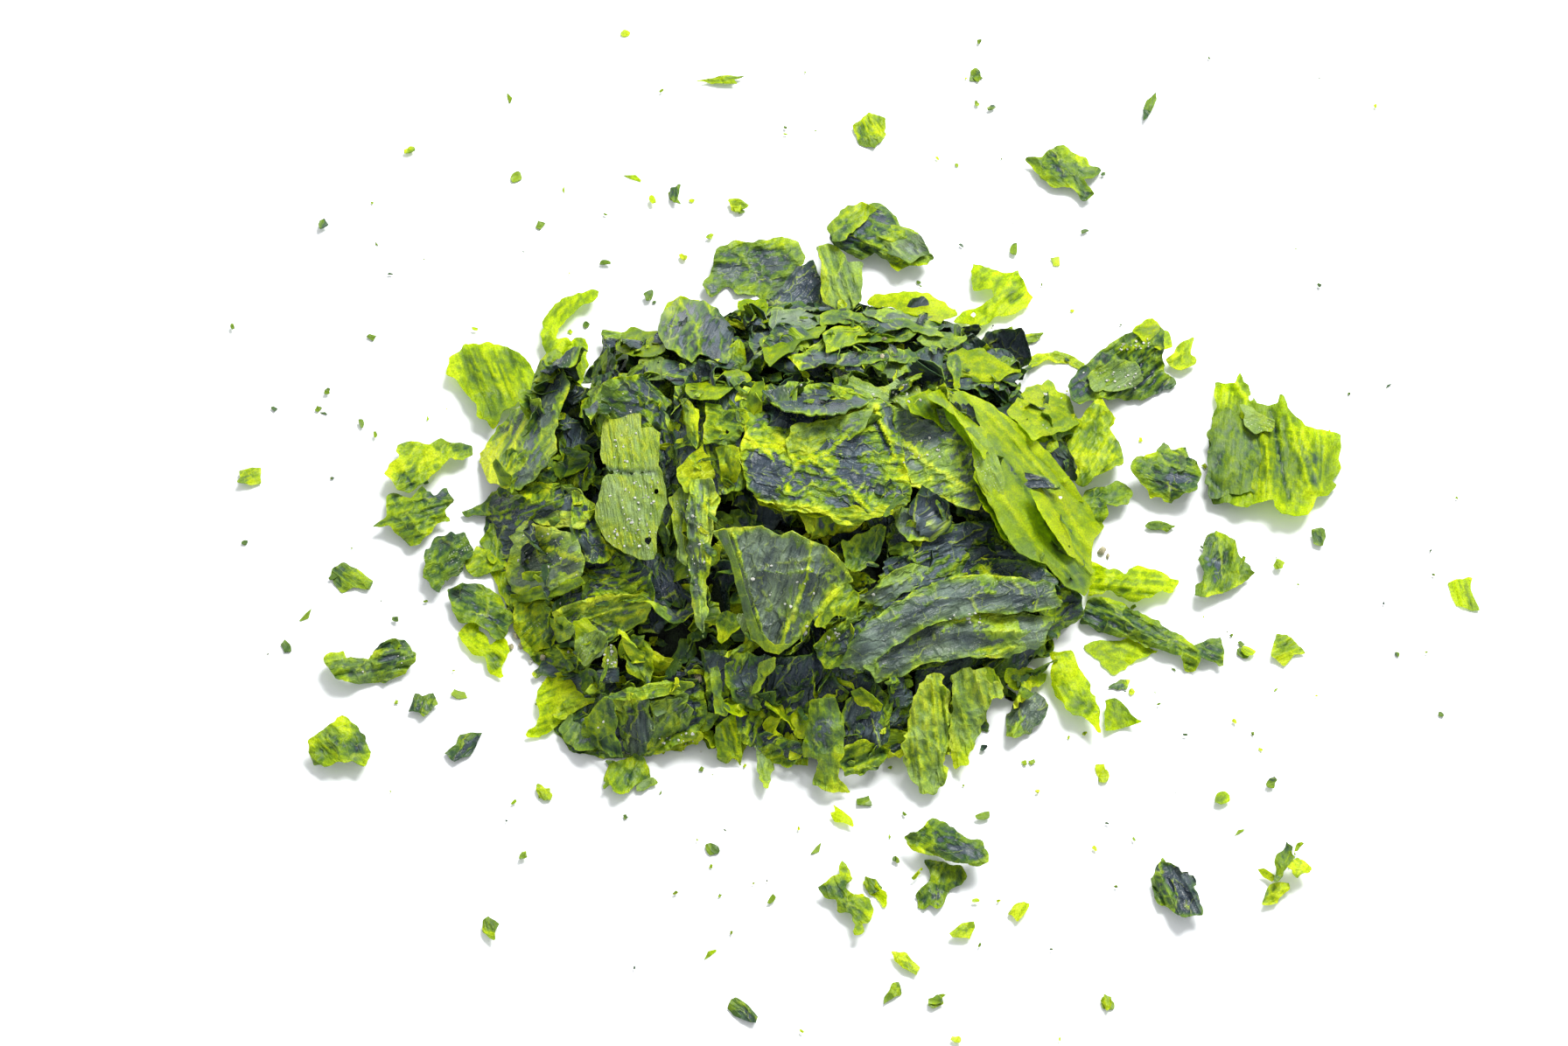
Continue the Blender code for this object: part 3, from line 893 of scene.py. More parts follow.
def lay_middle():
    """The large slabs in the middle, the long ribbon and its strips."""
    leaf("mosaic_slab", (844, 438), "slab", 4.2, -12, 0.52, 0.42,
        [2,32, 16,18, 36,8, 64,3, 96,0, 128,6, 156,17, 176,27, 186,62, 192,102, 197,124, 192,142,
        176,148, 156,150, 134,162, 118,162, 106,152, 56,145, 18,132, 6,110, 0,82, 8,62], glow_reach=0.9,
        pleat_wave=8, crease=0.85, crease_wave=1.1, wall=0.5, cell=0.6,
        spots=[(141, 92, 30, 0.3), (171, 122, 18, 0.3), (106, 52, 34, -0.22), (71, 77, 26, -0.16),
               (28, 102, 22, 0.28), (168, 62, 12, -0.2), (36, 42, 18, 0.2)],
        ridges=[([158,28, 102,79, 69,91], 1.6, -0.2, 2.0), ([90,92, 129,122, 151,147], 1.5, -0.35, 1.6),
                ([156,30, 178,84], 1.2, -0.35, 1.0), ([151,36, 173,79], -1.6, 0.5),
                ([6,125, 30,137, 78,142, 127,159], 0.7, -0.4, 1.0),
                ([8,62, 36,82, 56,122], 1.2, -0.3, 1.6)])
    leaf("mosaic_light_patch", (898, 465), "leaf", 5.2, 15, 0.36, 0.3,
        [5,22, 52,13, 102,0, 90,25, 67,40, 37,52, 7,65, 0,45], bloom=0.2, crease=0.6, wall=0.25)
    leaf("mosaic_front_lip", (862, 566), "leaf", 5.2, -8, 0.32, 0.25,
        [0,0, 38,10, 88,17, 123,14, 158,12, 160,21, 138,24, 116,36, 100,36, 86,26, 43,22, 6,12],
        pleat=0.6, pleat_wave=3)
    leaf("blue_grey_slab", (1022, 466), "slate", 3.8, 20, 0.7, 0.4,
        [0,0, 38,2, 73,4, 78,24, 93,54, 104,94, 98,120, 78,114, 58,104, 20,90, 8,64, 2,30], bloom=0.2,
        crease=0.7, wall=0.4,
        spots=[(23, 49, 14, -0.35), (28, 84, 18, -0.35), (73, 34, 20, -0.15), (63, 94, 16, -0.25)],
        ridges=[([8,34, 38,64, 88,94], 0.7, -0.3), ([20,90, 58,104, 96,120], 0.4, -0.4)])
    leaf("slab_foot", (1018, 578), "slate", 1.5, 80, 0.55, 0.35,
        [0,10, 12,4, 42,0, 62,10, 64,22, 60,34, 44,42, 18,40, 8,24], bloom=0.2, bow=2.0, lean=(0, -2),
        spots=[(44, 26, 14, 0.3)])
    leaf("long_ribbon", (1060, 447), "thin", 6.0, -52, 0.3, 0.22,
        [0,3, 40,0, 70,13, 105,40, 140,73, 165,105, 185,133, 202,155, 190,171, 186,193, 192,215, 180,235,
        158,223, 135,198, 105,185, 90,165, 78,143, 62,115, 52,98, 56,78, 40,53, 22,31, 18,15],
        uneven=0.1, fade=(38, -0.12), bow=2.5, pleat=1.5, pleat_wave=6.5, crease=0.55, curl=0.8,
        tear=0.3, tint=0.5, cell=0.6, bloom=0.12, holes=[(152, 121, 2.5)],
        spots=[(170, 217, 18, 0.35), (90, 106, 7, 0.2)],
        ridges=[([44,3, 90,45, 140,105, 188,183], 2.4, -0.15, 2.6),
                ([25,15, 58,65, 88,123, 130,183], 2.2, -0.12, 2.4),
                ([40,15, 75,58, 115,118, 155,185], -1.6, 0.2, 1.4),
                ([130,88, 155,128, 176,178], 1.0, 0.0, 1.5)])
    leaf("ribbon_inner_leaf", (1035, 444), "thin", 4.6, -55, 0.34, 0.25,
        [0,13, 27,0, 63,6, 85,36, 105,76, 117,116, 133,156, 147,190, 125,186, 103,158, 83,121, 69,86,
        55,56, 31,36, 5,28], pleat=1.2, pleat_wave=4, crease=0.8)
    leaf("ribbon_top_strip", (1108, 455), "thin", 8.6, -47, 0.16, 0.1,
        [0,0, 22,6, 48,24, 73,45, 97,70, 118,96, 132,119, 116,117, 90,97, 64,76, 42,50, 20,26], bow=1.6,
        pleat_wave=3, crease=0.5, tear=0.2, curl=0.6, tint=0.5)
    leaf("ribbon_pale_strip", (1100, 488), "salted", 7.6, -62, 0.36, 0.2,
        [0,0, 14,0, 32,18, 44,41, 49,66, 47,92, 60,118, 48,118, 34,92, 20,64, 12,42, 12,20], bloom=0.3,
        bow=1.2, pleat_wave=3, crease=0.5, tear=0.3, curl=0.6, tint=0.5)
    leaf("ribbon_low_strip", (1178, 560), "thin", 7.8, -55, 0.14, 0.1,
        [0,0, 14,6, 34,30, 50,52, 58,80, 44,74, 28,52, 12,28], bow=1.0, pleat_wave=3, crease=0.5,
        tear=0.3, curl=0.6, tint=0.5)
    leaf("ribbon_upper_fold", (1058, 444), "thin", 7.5, -60, 0.2, 0.15,
        [0,8, 17,0, 36,2, 54,14, 64,34, 72,66, 68,84, 54,61, 37,36, 18,20], bow=1.2, pleat=0.7,
        pleat_wave=4, fade=(60, -0.1))
    leaf("salted_back_edge", (940, 426), "salted", 4.8, -18, 0.4, 0.3,
        [0,0, 25,2, 60,14, 85,10, 108,16, 116,29, 100,42, 78,36, 55,26, 22,14], bloom=0.55, crease=0.9,
        pleat=0.8, pleat_wave=3, tear=0.9)
    leaf("ridge_patch", (868, 436), "slate", 5.6, -6, 0.86, 0.5,
        [0,12, 37,4, 82,0, 117,10, 132,20, 107,32, 62,40, 37,34, 12,26], glow_reach=0.7, bow=0.8,
        crease=0.6, wall=0.3)


def lay_pale_flake():
    """The pale flake and what lies behind it."""
    leaf("green_flake_behind", (660, 426), "leaf", 2.5, 60, 0.46, 0.25,
        [0,52, 8,22, 30,11, 45,1, 62,0, 72,8, 65,20, 42,22, 36,64, 27,76, 12,54], pleat=0.6, bow=1.0)
    leaf("pale_flake", (678, 440), "salted", 5.5, 98, 0.28, 0.12,
        [25,0, 36,2, 42,12, 50,22, 55,35, 54,50, 67,48, 77,55, 74,90, 84,120, 84,135, 77,150, 70,200,
        52,200, 37,192, 22,185, 10,172, 0,150, 8,120, 12,105, 19,100, 12,92, 8,80, 10,50, 17,25],
        uneven=0.07, bloom=0.5, bow=1.6, arch=0.8, pleat=0.3, pleat_wave=3.2, crease=0.25, curl=0.4,
        tear=0.3, cell=0.55, wall=0.3,
        holes=[(29, 27, 4), (72, 122, 3), (63, 178, 4), (12, 93, 3), (21, 100, 2.6), (32, 101, 2.2),
               (44, 101, 2.0), (56, 101, 1.8)], spots=[(34, 38, 30, -0.14), (42, 150, 26, 0.12)],
        ridges=[([10,95, 37,101, 70,101], -0.9, 0.6)])
    leaf("stack_by_pale_flake", (733, 462), "slate", -1.0, 100, 0.8, 0.3,
        [0,8, 12,0, 27,8, 42,38, 47,78, 37,113, 39,148, 27,178, 19,138, 27,103, 19,58], pleat=0.8,
        pleat_wave=3)


def lay_crumpled_column():
    """The crumpled column beside the pale flake."""
    leaf("yellow_top_piece", (702, 374), "thin", 5.0, 10, 0.24, 0.1,
        [0,9, 20,0, 38,2, 58,6, 58,26, 43,34, 20,34, 2,26], crease=0.7)
    leaf("grey_green_bit", (728, 408), "leaf", 4.0, 70, 0.45, 0.3, [0,2, 32,0, 30,24, 12,28, 2,32],
        bloom=0.3)
    leaf("box_fold", (752, 339), "leaf", 5.0, 65, 0.72, 0.3,
        [5,21, 13,6, 23,0, 53,6, 68,16, 86,33, 86,61, 80,77, 48,66, 38,73, 8,59, 0,39], uneven=0.2,
        bow=1.6, curl=0.8, crease=2.2, pleat=2.0, pleat_wave=4.5, tear=0.5, cell=0.6,
        spots=[(16, 15, 14, -0.45), (74, 53, 20, 0.25), (48, 61, 14, 0.2)],
        ridges=[([23,2, 44,33, 48,65], 2.0, -0.2, 1.6), ([54,6, 70,33, 74,73], 1.6, -0.2, 1.4),
                ([32,11, 24,41, 30,69], -1.4, 0.3, 1.4)])
    leaf("box_fold_lid", (758, 339), "thin", 6.5, -15, 0.2, 0.1,
        [2,6, 20,0, 48,7, 62,19, 42,23, 24,17, 10,33, 0,23])
    leaf("slate_wedge", (756, 410), "slate", 4.5, 0, 0.84, 0.2,
        [2,0, 34,5, 76,0, 94,8, 44,12, 26,30, 14,31, 0,22])
    leaf("bright_crumple_top", (782, 422), "thin", 5.0, 10, 0.28, 0.15,
        [0,8, 18,3, 38,8, 50,0, 68,3, 76,12, 60,20, 38,34, 18,34, 3,28], crease=1.0, pleat=0.8,
        pleat_wave=3)
    leaf("column_left", (778, 455), "leaf", 4.5, 95, 0.45, 0.35, [5,0, 22,13, 22,35, 18,57, 10,47, 0,7],
        bow=1.2, pleat=0.6, pleat_wave=2.5)
    leaf("folded_square", (804, 462), "leaf", 5.0, -10, 0.4, 0.35,
        [4,0, 46,8, 53,16, 44,33, 36,47, 1,45, 0,23], crease=0.9, wall=0.25, holes=[(27, 32, 2.5)])
    leaf("column_flap_left", (773, 508), "leaf", 4.5, 40, 0.3, 0.2,
        [0,28, 15,12, 29,0, 40,17, 43,37, 27,54, 7,54], crease=0.9, bow=1.0)
    leaf("column_flap_right", (820, 508), "leaf", 4.2, 80, 0.34, 0.25, [0,4, 26,0, 26,27, 18,54, 6,40],
        bow=1.2)
    leaf("column_back", (770, 440), "slab", 2.2, 90, 0.62, 0.35,
        [0,0, 45,0, 88,10, 92,60, 80,120, 30,130, 5,105, 0,50], crease=1.0, pleat=0.8, pleat_wave=4)


def lay_left_side():
    """The striped blade and the slabs on the left."""
    leaf("striped_blade", (548, 413), "slate", 4.6, 56, 0.52, 0.35,
        [90,0, 97,15, 104,32, 92,55, 86,82, 88,102, 74,122, 58,139, 44,147, 12,140, 3,127, 0,105, 10,92,
        27,67, 44,53, 58,35, 66,17, 78,7], bow=2.2, pleat_wave=3.4, crease=0.25, fade=(-10, 0.18),
        bloom=0.15, cell=0.6, spots=[(27, 122, 26, -0.3), (52, 87, 12, 0.25)],
        ridges=[([88,17, 74,57, 56,102], 0.7, 0.4), ([70,27, 52,67, 32,107], 0.6, -0.35),
                ([56,47, 37,87, 22,117], -0.5, 0.3)])
    leaf("blade_edge_strip", (560, 515), "leaf", 2.0, 35, 0.6, 0.3,
        [0,38, 32,45, 62,21, 80,0, 88,15, 70,37, 40,57, 12,55])
    leaf("left_crinkle", (636, 470), "slab", 1.0, 80, 0.68, 0.3,
        [4,0, 26,10, 40,35, 46,65, 34,90, 14,102, 4,80, 6,50, 0,25], pleat=1.2, pleat_wave=3.4)
    leaf("left_upper_slab", (596, 555), "slab", 3.0, 15, 0.48, 0.35,
        [2,20, 14,5, 44,0, 62,5, 76,20, 72,45, 44,49, 22,45, 0,31], curl=2.2, bloom=0.3, wall=0.35)
    leaf("left_lower_slab", (576, 597), "slate", 3.6, 20, 0.48, 0.3,
        [2,3, 24,0, 54,6, 82,15, 92,43, 87,68, 54,76, 24,85, 9,79, 0,58, 12,25], curl=2.2, bloom=0.35,
        wall=0.4, pleat=0.6, pleat_wave=6, spots=[(36, 58, 24, 0.3), (64, 23, 16, -0.12)],
        ridges=[([14,18, 44,28, 84,43], 0.6, -0.3), ([14,78, 49,71, 84,58], 0.4, -0.4)])
    leaf("left_blade", (583, 660), "thin", 5.0, 14, 0.45, 0.3, [0,21, 37,10, 79,0, 85,8, 57,20, 17,30],
        curl=2.2, pleat=0.4, pleat_wave=2)
    leaf("crumple_upper", (630, 680), "slab", 4.2, 20, 0.36, 0.3,
        [0,20, 20,10, 70,0, 106,0, 116,10, 110,26, 85,42, 60,55, 46,68, 25,50, 8,42], crease=1.1,
        pleat=1.0, pleat_wave=4, bloom=0.15, spots=[(38, 35, 16, -0.22), (105, 12, 10, -0.1)])
    leaf("crumple_point", (656, 722), "salted", 5.0, 60, 0.44, 0.25,
        [0,6, 24,0, 38,6, 34,21, 24,31, 12,40, 5,34, 1,20], bloom=0.45)
    leaf("crumple_knob", (625, 704), "leaf", 3.5, 30, 0.38, 0.25, [0,2, 21,0, 32,12, 27,27, 11,32, 2,18],
        curl=2.2, crease=1.0, bloom=0.2)
    leaf("left_middle_slab", (600, 622), "slab", 1.6, 10, 0.56, 0.3,
        [0,18, 40,6, 90,0, 122,18, 145,40, 140,62, 100,68, 50,78, 20,72, 0,48], curl=2.2, pleat=0.9)
    leaf("left_inner_slab", (652, 560), "slab", 2.6, 100, 0.56, 0.3,
        [3,0, 28,15, 36,52, 53,70, 38,85, 8,80, 0,45], curl=2.2, pleat=0.7, pleat_wave=3)
    leaf("left_olive_flake", (528, 625), "leaf", 2.0, 20, 0.5, 0.25,
        [0,15, 17,0, 32,3, 48,23, 32,31, 12,37], curl=2.2)
    leaf("left_small_blade", (528, 560), "leaf", 1.5, 30, 0.58, 0.25,
        [0,26, 17,18, 44,0, 49,12, 37,26, 4,32])
    leaf("left_foot_flake", (548, 598), "leaf", 1.0, 70, 0.56, 0.3,
        [12,2, 32,0, 42,22, 30,52, 12,42, 0,20])


def lay_cupped_leaf():
    """The upright stack and the dark cupped leaf."""
    leaf("upright_leaf", (784, 548), "slate", 6.0, 92, 0.5, 0.35,
        [6,0, 28,0, 38,22, 32,52, 28,92, 22,122, 24,152, 20,180, 12,168, 7,142, 2,82, 0,42], curl=2.2,
        bloom=0.25, bow=1.5, pleat=0.7, pleat_wave=2.4, cell=0.55)
    leaf("upright_leaf_left", (765, 558), "salted", 4.5, 95, 0.54, 0.3,
        [0,12, 13,0, 25,8, 23,52, 21,92, 11,82, 5,42], curl=2.2, bloom=0.4, pleat=0.6, pleat_wave=2.4)
    leaf("dark_cupped_leaf", (815, 602), "slate", 9.5, 72, 0.64, 0.34,
        [0,6, 23,1, 55,0, 75,10, 90,5, 105,13, 130,23, 150,43, 160,63, 140,70, 130,88, 109,114, 95,133,
        75,144, 60,140, 45,126, 37,103, 29,70, 21,38, 10,18], lean=(0.0, 5.0), uneven=0.1,
        glow_reach=1.1, bow=-3.0, arch=-0.8, pleat_wave=7, crease=0.5, curl=0.8, tear=0.25, cell=0.55,
        wall=0.3, bloom=0.3,
        spots=[(130, 63, 26, -0.14), (70, 58, 34, 0.5), (70, 113, 16, 0.2), (107, 38, 14, 0.2),
               (115, 88, 12, 0.15)],
        ridges=[([23,10, 35,48, 46,88, 61,134], 1.6, -0.2, 1.4),
                ([51,50, 80,54, 110,49], 1.2, -0.25, 1.2),
                ([112,18, 109,53, 93,93, 78,133], 1.6, -0.4, 1.8),
                ([90,10, 83,48, 75,88], -0.8, 0.1, 1.4),
                ([7,4, 55,0, 78,11, 90,6, 130,24, 159,60], 0.4, -0.25),
                ([140,70, 115,103, 90,133, 65,142], 0.4, -0.25)])
    leaf("cupped_leaf_band", (815, 606), "leaf", 10.0, 100, 0.58, 0.3,
        [0,2, 15,0, 23,24, 33,54, 43,89, 53,116, 70,132, 90,130, 75,142, 59,138, 43,124, 35,96, 27,66,
        19,34, 9,14], lean=(0.0, 5.0), bloom=0.2, bow=1.0, pleat=0.2, crease=0.2, curl=0.3, tear=0.2,
        cell=0.5)
    leaf("cupped_leaf_flap", (925, 668), "leaf", 9.0, 52, 0.4, 0.25,
        [0,53, 10,32, 25,7, 43,0, 57,12, 56,27, 50,38, 31,36, 15,48], bow=1.4, pleat=0.6, pleat_wave=3)
    leaf("salted_foot_flap", (842, 699), "salted", 5.0, 60, 0.42, 0.2,
        [0,4, 15,0, 21,16, 27,30, 13,33, 4,21], bloom=0.5)
    leaf("lime_footed_piece", (818, 698), "leaf", 3.0, 45, 0.55, 0.35,
        [0,7, 12,0, 24,6, 28,18, 18,28, 7,36, 0,24], spots=[(6, 28, 8, -0.35)])
    leaf("recess_leaf", (962, 598), "leaf", 2.0, 60, 0.64, 0.45,
        [0,20, 23,12, 44,0, 52,4, 49,20, 45,34, 34,48, 16,59, 7,50, 1,34], glow_reach=1.4, bow=-1.5)


def lay_left_front():
    """The low litter at the left front."""
    leaf("left_front_clump", (586, 682), "salted", 2.0, 40, 0.46, 0.3,
        [0,8, 24,0, 48,10, 56,30, 46,53, 28,64, 12,58, 2,38], curl=2.2, bow=2.0, crease=1.1,
        crinkle=0.35, tear=0.8)
    leaf("left_front_low", (600, 734), "slab", 1.6, -10, 0.6, 0.35,
        [0,8, 25,0, 55,8, 70,22, 55,40, 30,34, 10,26], curl=2.2, bow=1.4, tear=0.7)
    leaf("left_front_lime", (655, 705), "thin", 4.5, -40, 0.26, 0.2,
        [0,5, 13,0, 26,11, 30,21, 17,31, 0,28])
    leaf("left_front_grey", (656, 720), "slate", 3.4, 60, 0.66, 0.3,
        [0,16, 9,2, 24,0, 36,5, 39,16, 32,29, 20,38, 8,42, 3,30], bloom=0.35)
    leaf("left_shore", (560, 650), "leaf", 1.5, 80, 0.64, 0.35, [0,5, 25,0, 40,18, 44,40, 32,56, 18,40],
        bow=1.2)


def lay_curved_slabs():
    """The long curved slabs at the lower right."""
    leaf("curved_slab_back", (1098, 638), "slab", 2.0, 4, 0.66, 0.3,
        [0,10, 27,0, 67,2, 98,12, 110,28, 82,32, 52,32, 30,26, 7,19])
    leaf("curved_slab_main", (958, 655), "slate", 4.6, 20, 0.77, 0.5,
        [0,109, 14,81, 34,57, 57,40, 87,21, 127,6, 167,0, 207,3, 244,13, 256,39, 207,47, 167,47, 127,53,
        94,65, 64,83, 44,101, 27,113], tint=0.45, glow_reach=1.2, bloom=0.16, bow=1.4, pleat_wave=7,
        crease=1.3, crease_wave=1.3, cell=0.7, wall=0.4,
        spots=[(52, 75, 16, 0.25), (122, 35, 22, 0.2), (212, 29, 24, 0.2)],
        ridges=[([12,97, 42,67, 87,40, 127,27, 167,22, 242,27], 1.6, -0.06, 2.0)])
    leaf("curved_slab_front", (985, 699), "slate", 4.2, 14, 0.7, 0.5,
        [0,63, 25,33, 55,13, 90,3, 117,7, 145,0, 180,0, 221,7, 209,39, 165,53, 125,51, 95,55, 65,63,
        45,73, 19,81], tint=0.45, glow_reach=1.3, bloom=0.2, bow=1.2, pleat_wave=7, crease=1.3,
        crease_wave=1.3, cell=0.7, wall=0.4,
        spots=[(75, 39, 18, 0.22), (165, 23, 24, -0.15), (125, 39, 14, 0.2)],
        ridges=[([20,66, 55,36, 90,25, 145,23, 205,23], 1.5, -0.06, 2.0),
                ([75,51, 125,46, 180,41], 0.5, -0.3)])
    leaf("curved_slab_top", (985, 622), "slab", 2.8, 20, 0.74, 0.4,
        [0,80, 25,46, 60,23, 105,6, 155,0, 200,18, 222,40, 180,42, 140,40, 100,46, 60,62, 27,82, 7,98],
        tint=0.6, crease=1.6, pleat=0.7, pleat_wave=6, tear=0.9)
    leaf("curved_slab_left", (978, 645), "slate", 3.4, 30, 0.76, 0.35,
        [0,39, 22,27, 40,10, 62,0, 84,5, 72,23, 52,35, 34,47, 20,47], bloom=0.25)
    leaf("curved_slab_end", (1180, 680), "leaf", 2.5, -10, 0.5, 0.3,
        [0,10, 25,0, 48,6, 56,20, 40,35, 16,32])
    leaf("recess_lime_bit", (1016, 620), "leaf", 1.2, 10, 0.42, 0.2,
        [0,7, 14,0, 30,0, 27,21, 14,14, 2,13])
    leaf("recess_dark_leaf", (1042, 622), "leaf", 1.0, -10, 0.66, 0.25,
        [0,18, 10,2, 34,0, 56,18, 43,34, 18,28])
    leaf("under_flap_slab", (930, 700), "slab", 2.4, 40, 0.6, 0.3,
        [0,38, 28,12, 55,0, 70,12, 55,35, 35,60, 10,66])


def lay_back():
    """The folds at the back and the bright flakes at the right."""
    leaf("back_slate_fold", (878, 350), "slate", 5.5, 15, 0.74, 0.2,
        [2,0, 25,2, 52,0, 65,2, 65,16, 52,25, 30,24, 12,30, 0,22], bloom=0.3)
    leaf("back_yellow_fold", (868, 372), "thin", 6.5, 15, 0.34, 0.05,
        [0,14, 17,9, 37,0, 62,2, 75,2, 68,14, 47,19, 37,30, 22,39, 12,47, 4,30], curl=2.2, crease=0.6)
    leaf("yellow_square", (842, 342), "thin", 5.0, 10, 0.26, 0.12, [0,1, 33,0, 37,26, 16,30, 1,25])
    leaf("back_yellow_leaf", (988, 332), "thin", 6.0, -8, 0.15, 0.08,
        [0,15, 12,6, 52,0, 72,4, 97,18, 105,28, 87,38, 62,28, 32,20])
    leaf("back_slate_leaf", (985, 352), "slate", 4.5, -8, 0.66, 0.2,
        [0,5, 25,0, 65,2, 95,14, 85,28, 55,20, 25,16], bloom=0.35)
    leaf("back_arched_leaf", (940, 370), "leaf", 4.8, 8, 0.52, 0.35,
        [0,12, 20,0, 45,4, 65,12, 90,4, 112,8, 100,18, 65,22, 45,22, 20,27, 4,32], curl=2.2, bow=1.0)
    leaf("back_green_leaf", (1042, 380), "leaf", 5.0, 5, 0.42, 0.2,
        [0,8, 23,0, 45,2, 61,6, 54,17, 38,21, 16,17], curl=2.2, bloom=0.25)
    leaf("back_long_fold", (936, 352), "leaf", 5.6, -8, 0.7, 0.45,
        [0,8, 24,0, 49,6, 74,14, 99,12, 122,20, 144,32, 124,32, 98,24, 72,28, 46,22, 22,16, 4,20],
        curl=2.0, bow=1.8, pleat=1.0, crease=1.2)
    leaf("back_low_fold", (900, 396), "slab", 4.4, 4, 0.78, 0.5,
        [0,12, 30,0, 58,8, 90,6, 120,2, 146,8, 136,20, 104,18, 76,24, 44,20, 16,28], curl=2.0, bow=1.8,
        pleat=1.2, crease=1.3)
    leaf("back_dark_leaf", (1042, 396), "slate", 2.4, 70, 0.88, 0.2,
        [0,6, 16,0, 36,6, 38,24, 24,33, 8,30])
    leaf("back_pale_piece", (1000, 409), "leaf", 4.6, 10, 0.44, 0.25,
        [0,12, 15,3, 36,0, 44,6, 36,18, 18,23, 5,21], bloom=0.3)
    leaf("bright_right_leaf", (1082, 398), "thin", 5.5, -12, 0.18, 0.08,
        [0,9, 18,0, 43,2, 58,14, 83,26, 63,35, 38,38, 10,32], curl=2.2, crease=0.6)
    leaf("bright_right_tip", (1115, 417), "slate", 4.0, 22, 0.66, 0.3,
        [0,23, 35,13, 67,0, 45,20, 27,33, 7,35])
    leaf("standing_strip", (1082, 403), "leaf", 6.5, -82, 0.42, 0.3, [0,2, 12,0, 17,22, 18,44, 9,45])
    leaf("right_pale_flake", (1150, 434), "thin", 5.5, -35, 0.22, 0.1,
        [0,36, 15,21, 22,8, 40,6, 48,0, 58,10, 72,21, 82,48, 70,59, 32,69, 10,48], curl=2.2, bloom=0.15,
        holes=[(24, 45, 1.8)])
    leaf("right_green_flake", (1212, 455), "leaf", 5.0, 55, 0.52, 0.35,
        [0,35, 23,23, 36,7, 46,0, 56,15, 64,23, 58,35, 67,50, 72,75, 50,85, 38,91, 26,102, 16,97, 20,80,
        13,65], curl=2.2, crease=0.8, bow=1.5, spots=[(38, 45, 18, 0.15)])
    leaf("right_dark_underside", (1185, 498), "slate", 2.4, -50, 0.86, 0.2,
        [0,9, 25,0, 41,22, 47,52, 27,50, 11,28])
    leaf("small_upright_fold", (1143, 373), "leaf", 2.0, -50, 0.4, 0.3,
        [0,7, 13,0, 15,17, 30,39, 22,42, 5,27])
    leaf("arc_strip", (1168, 401), "leaf", 1.5, -8, 0.34, 0.25,
        [0,11, 17,3, 40,0, 75,14, 68,24, 54,14, 32,11, 12,18])


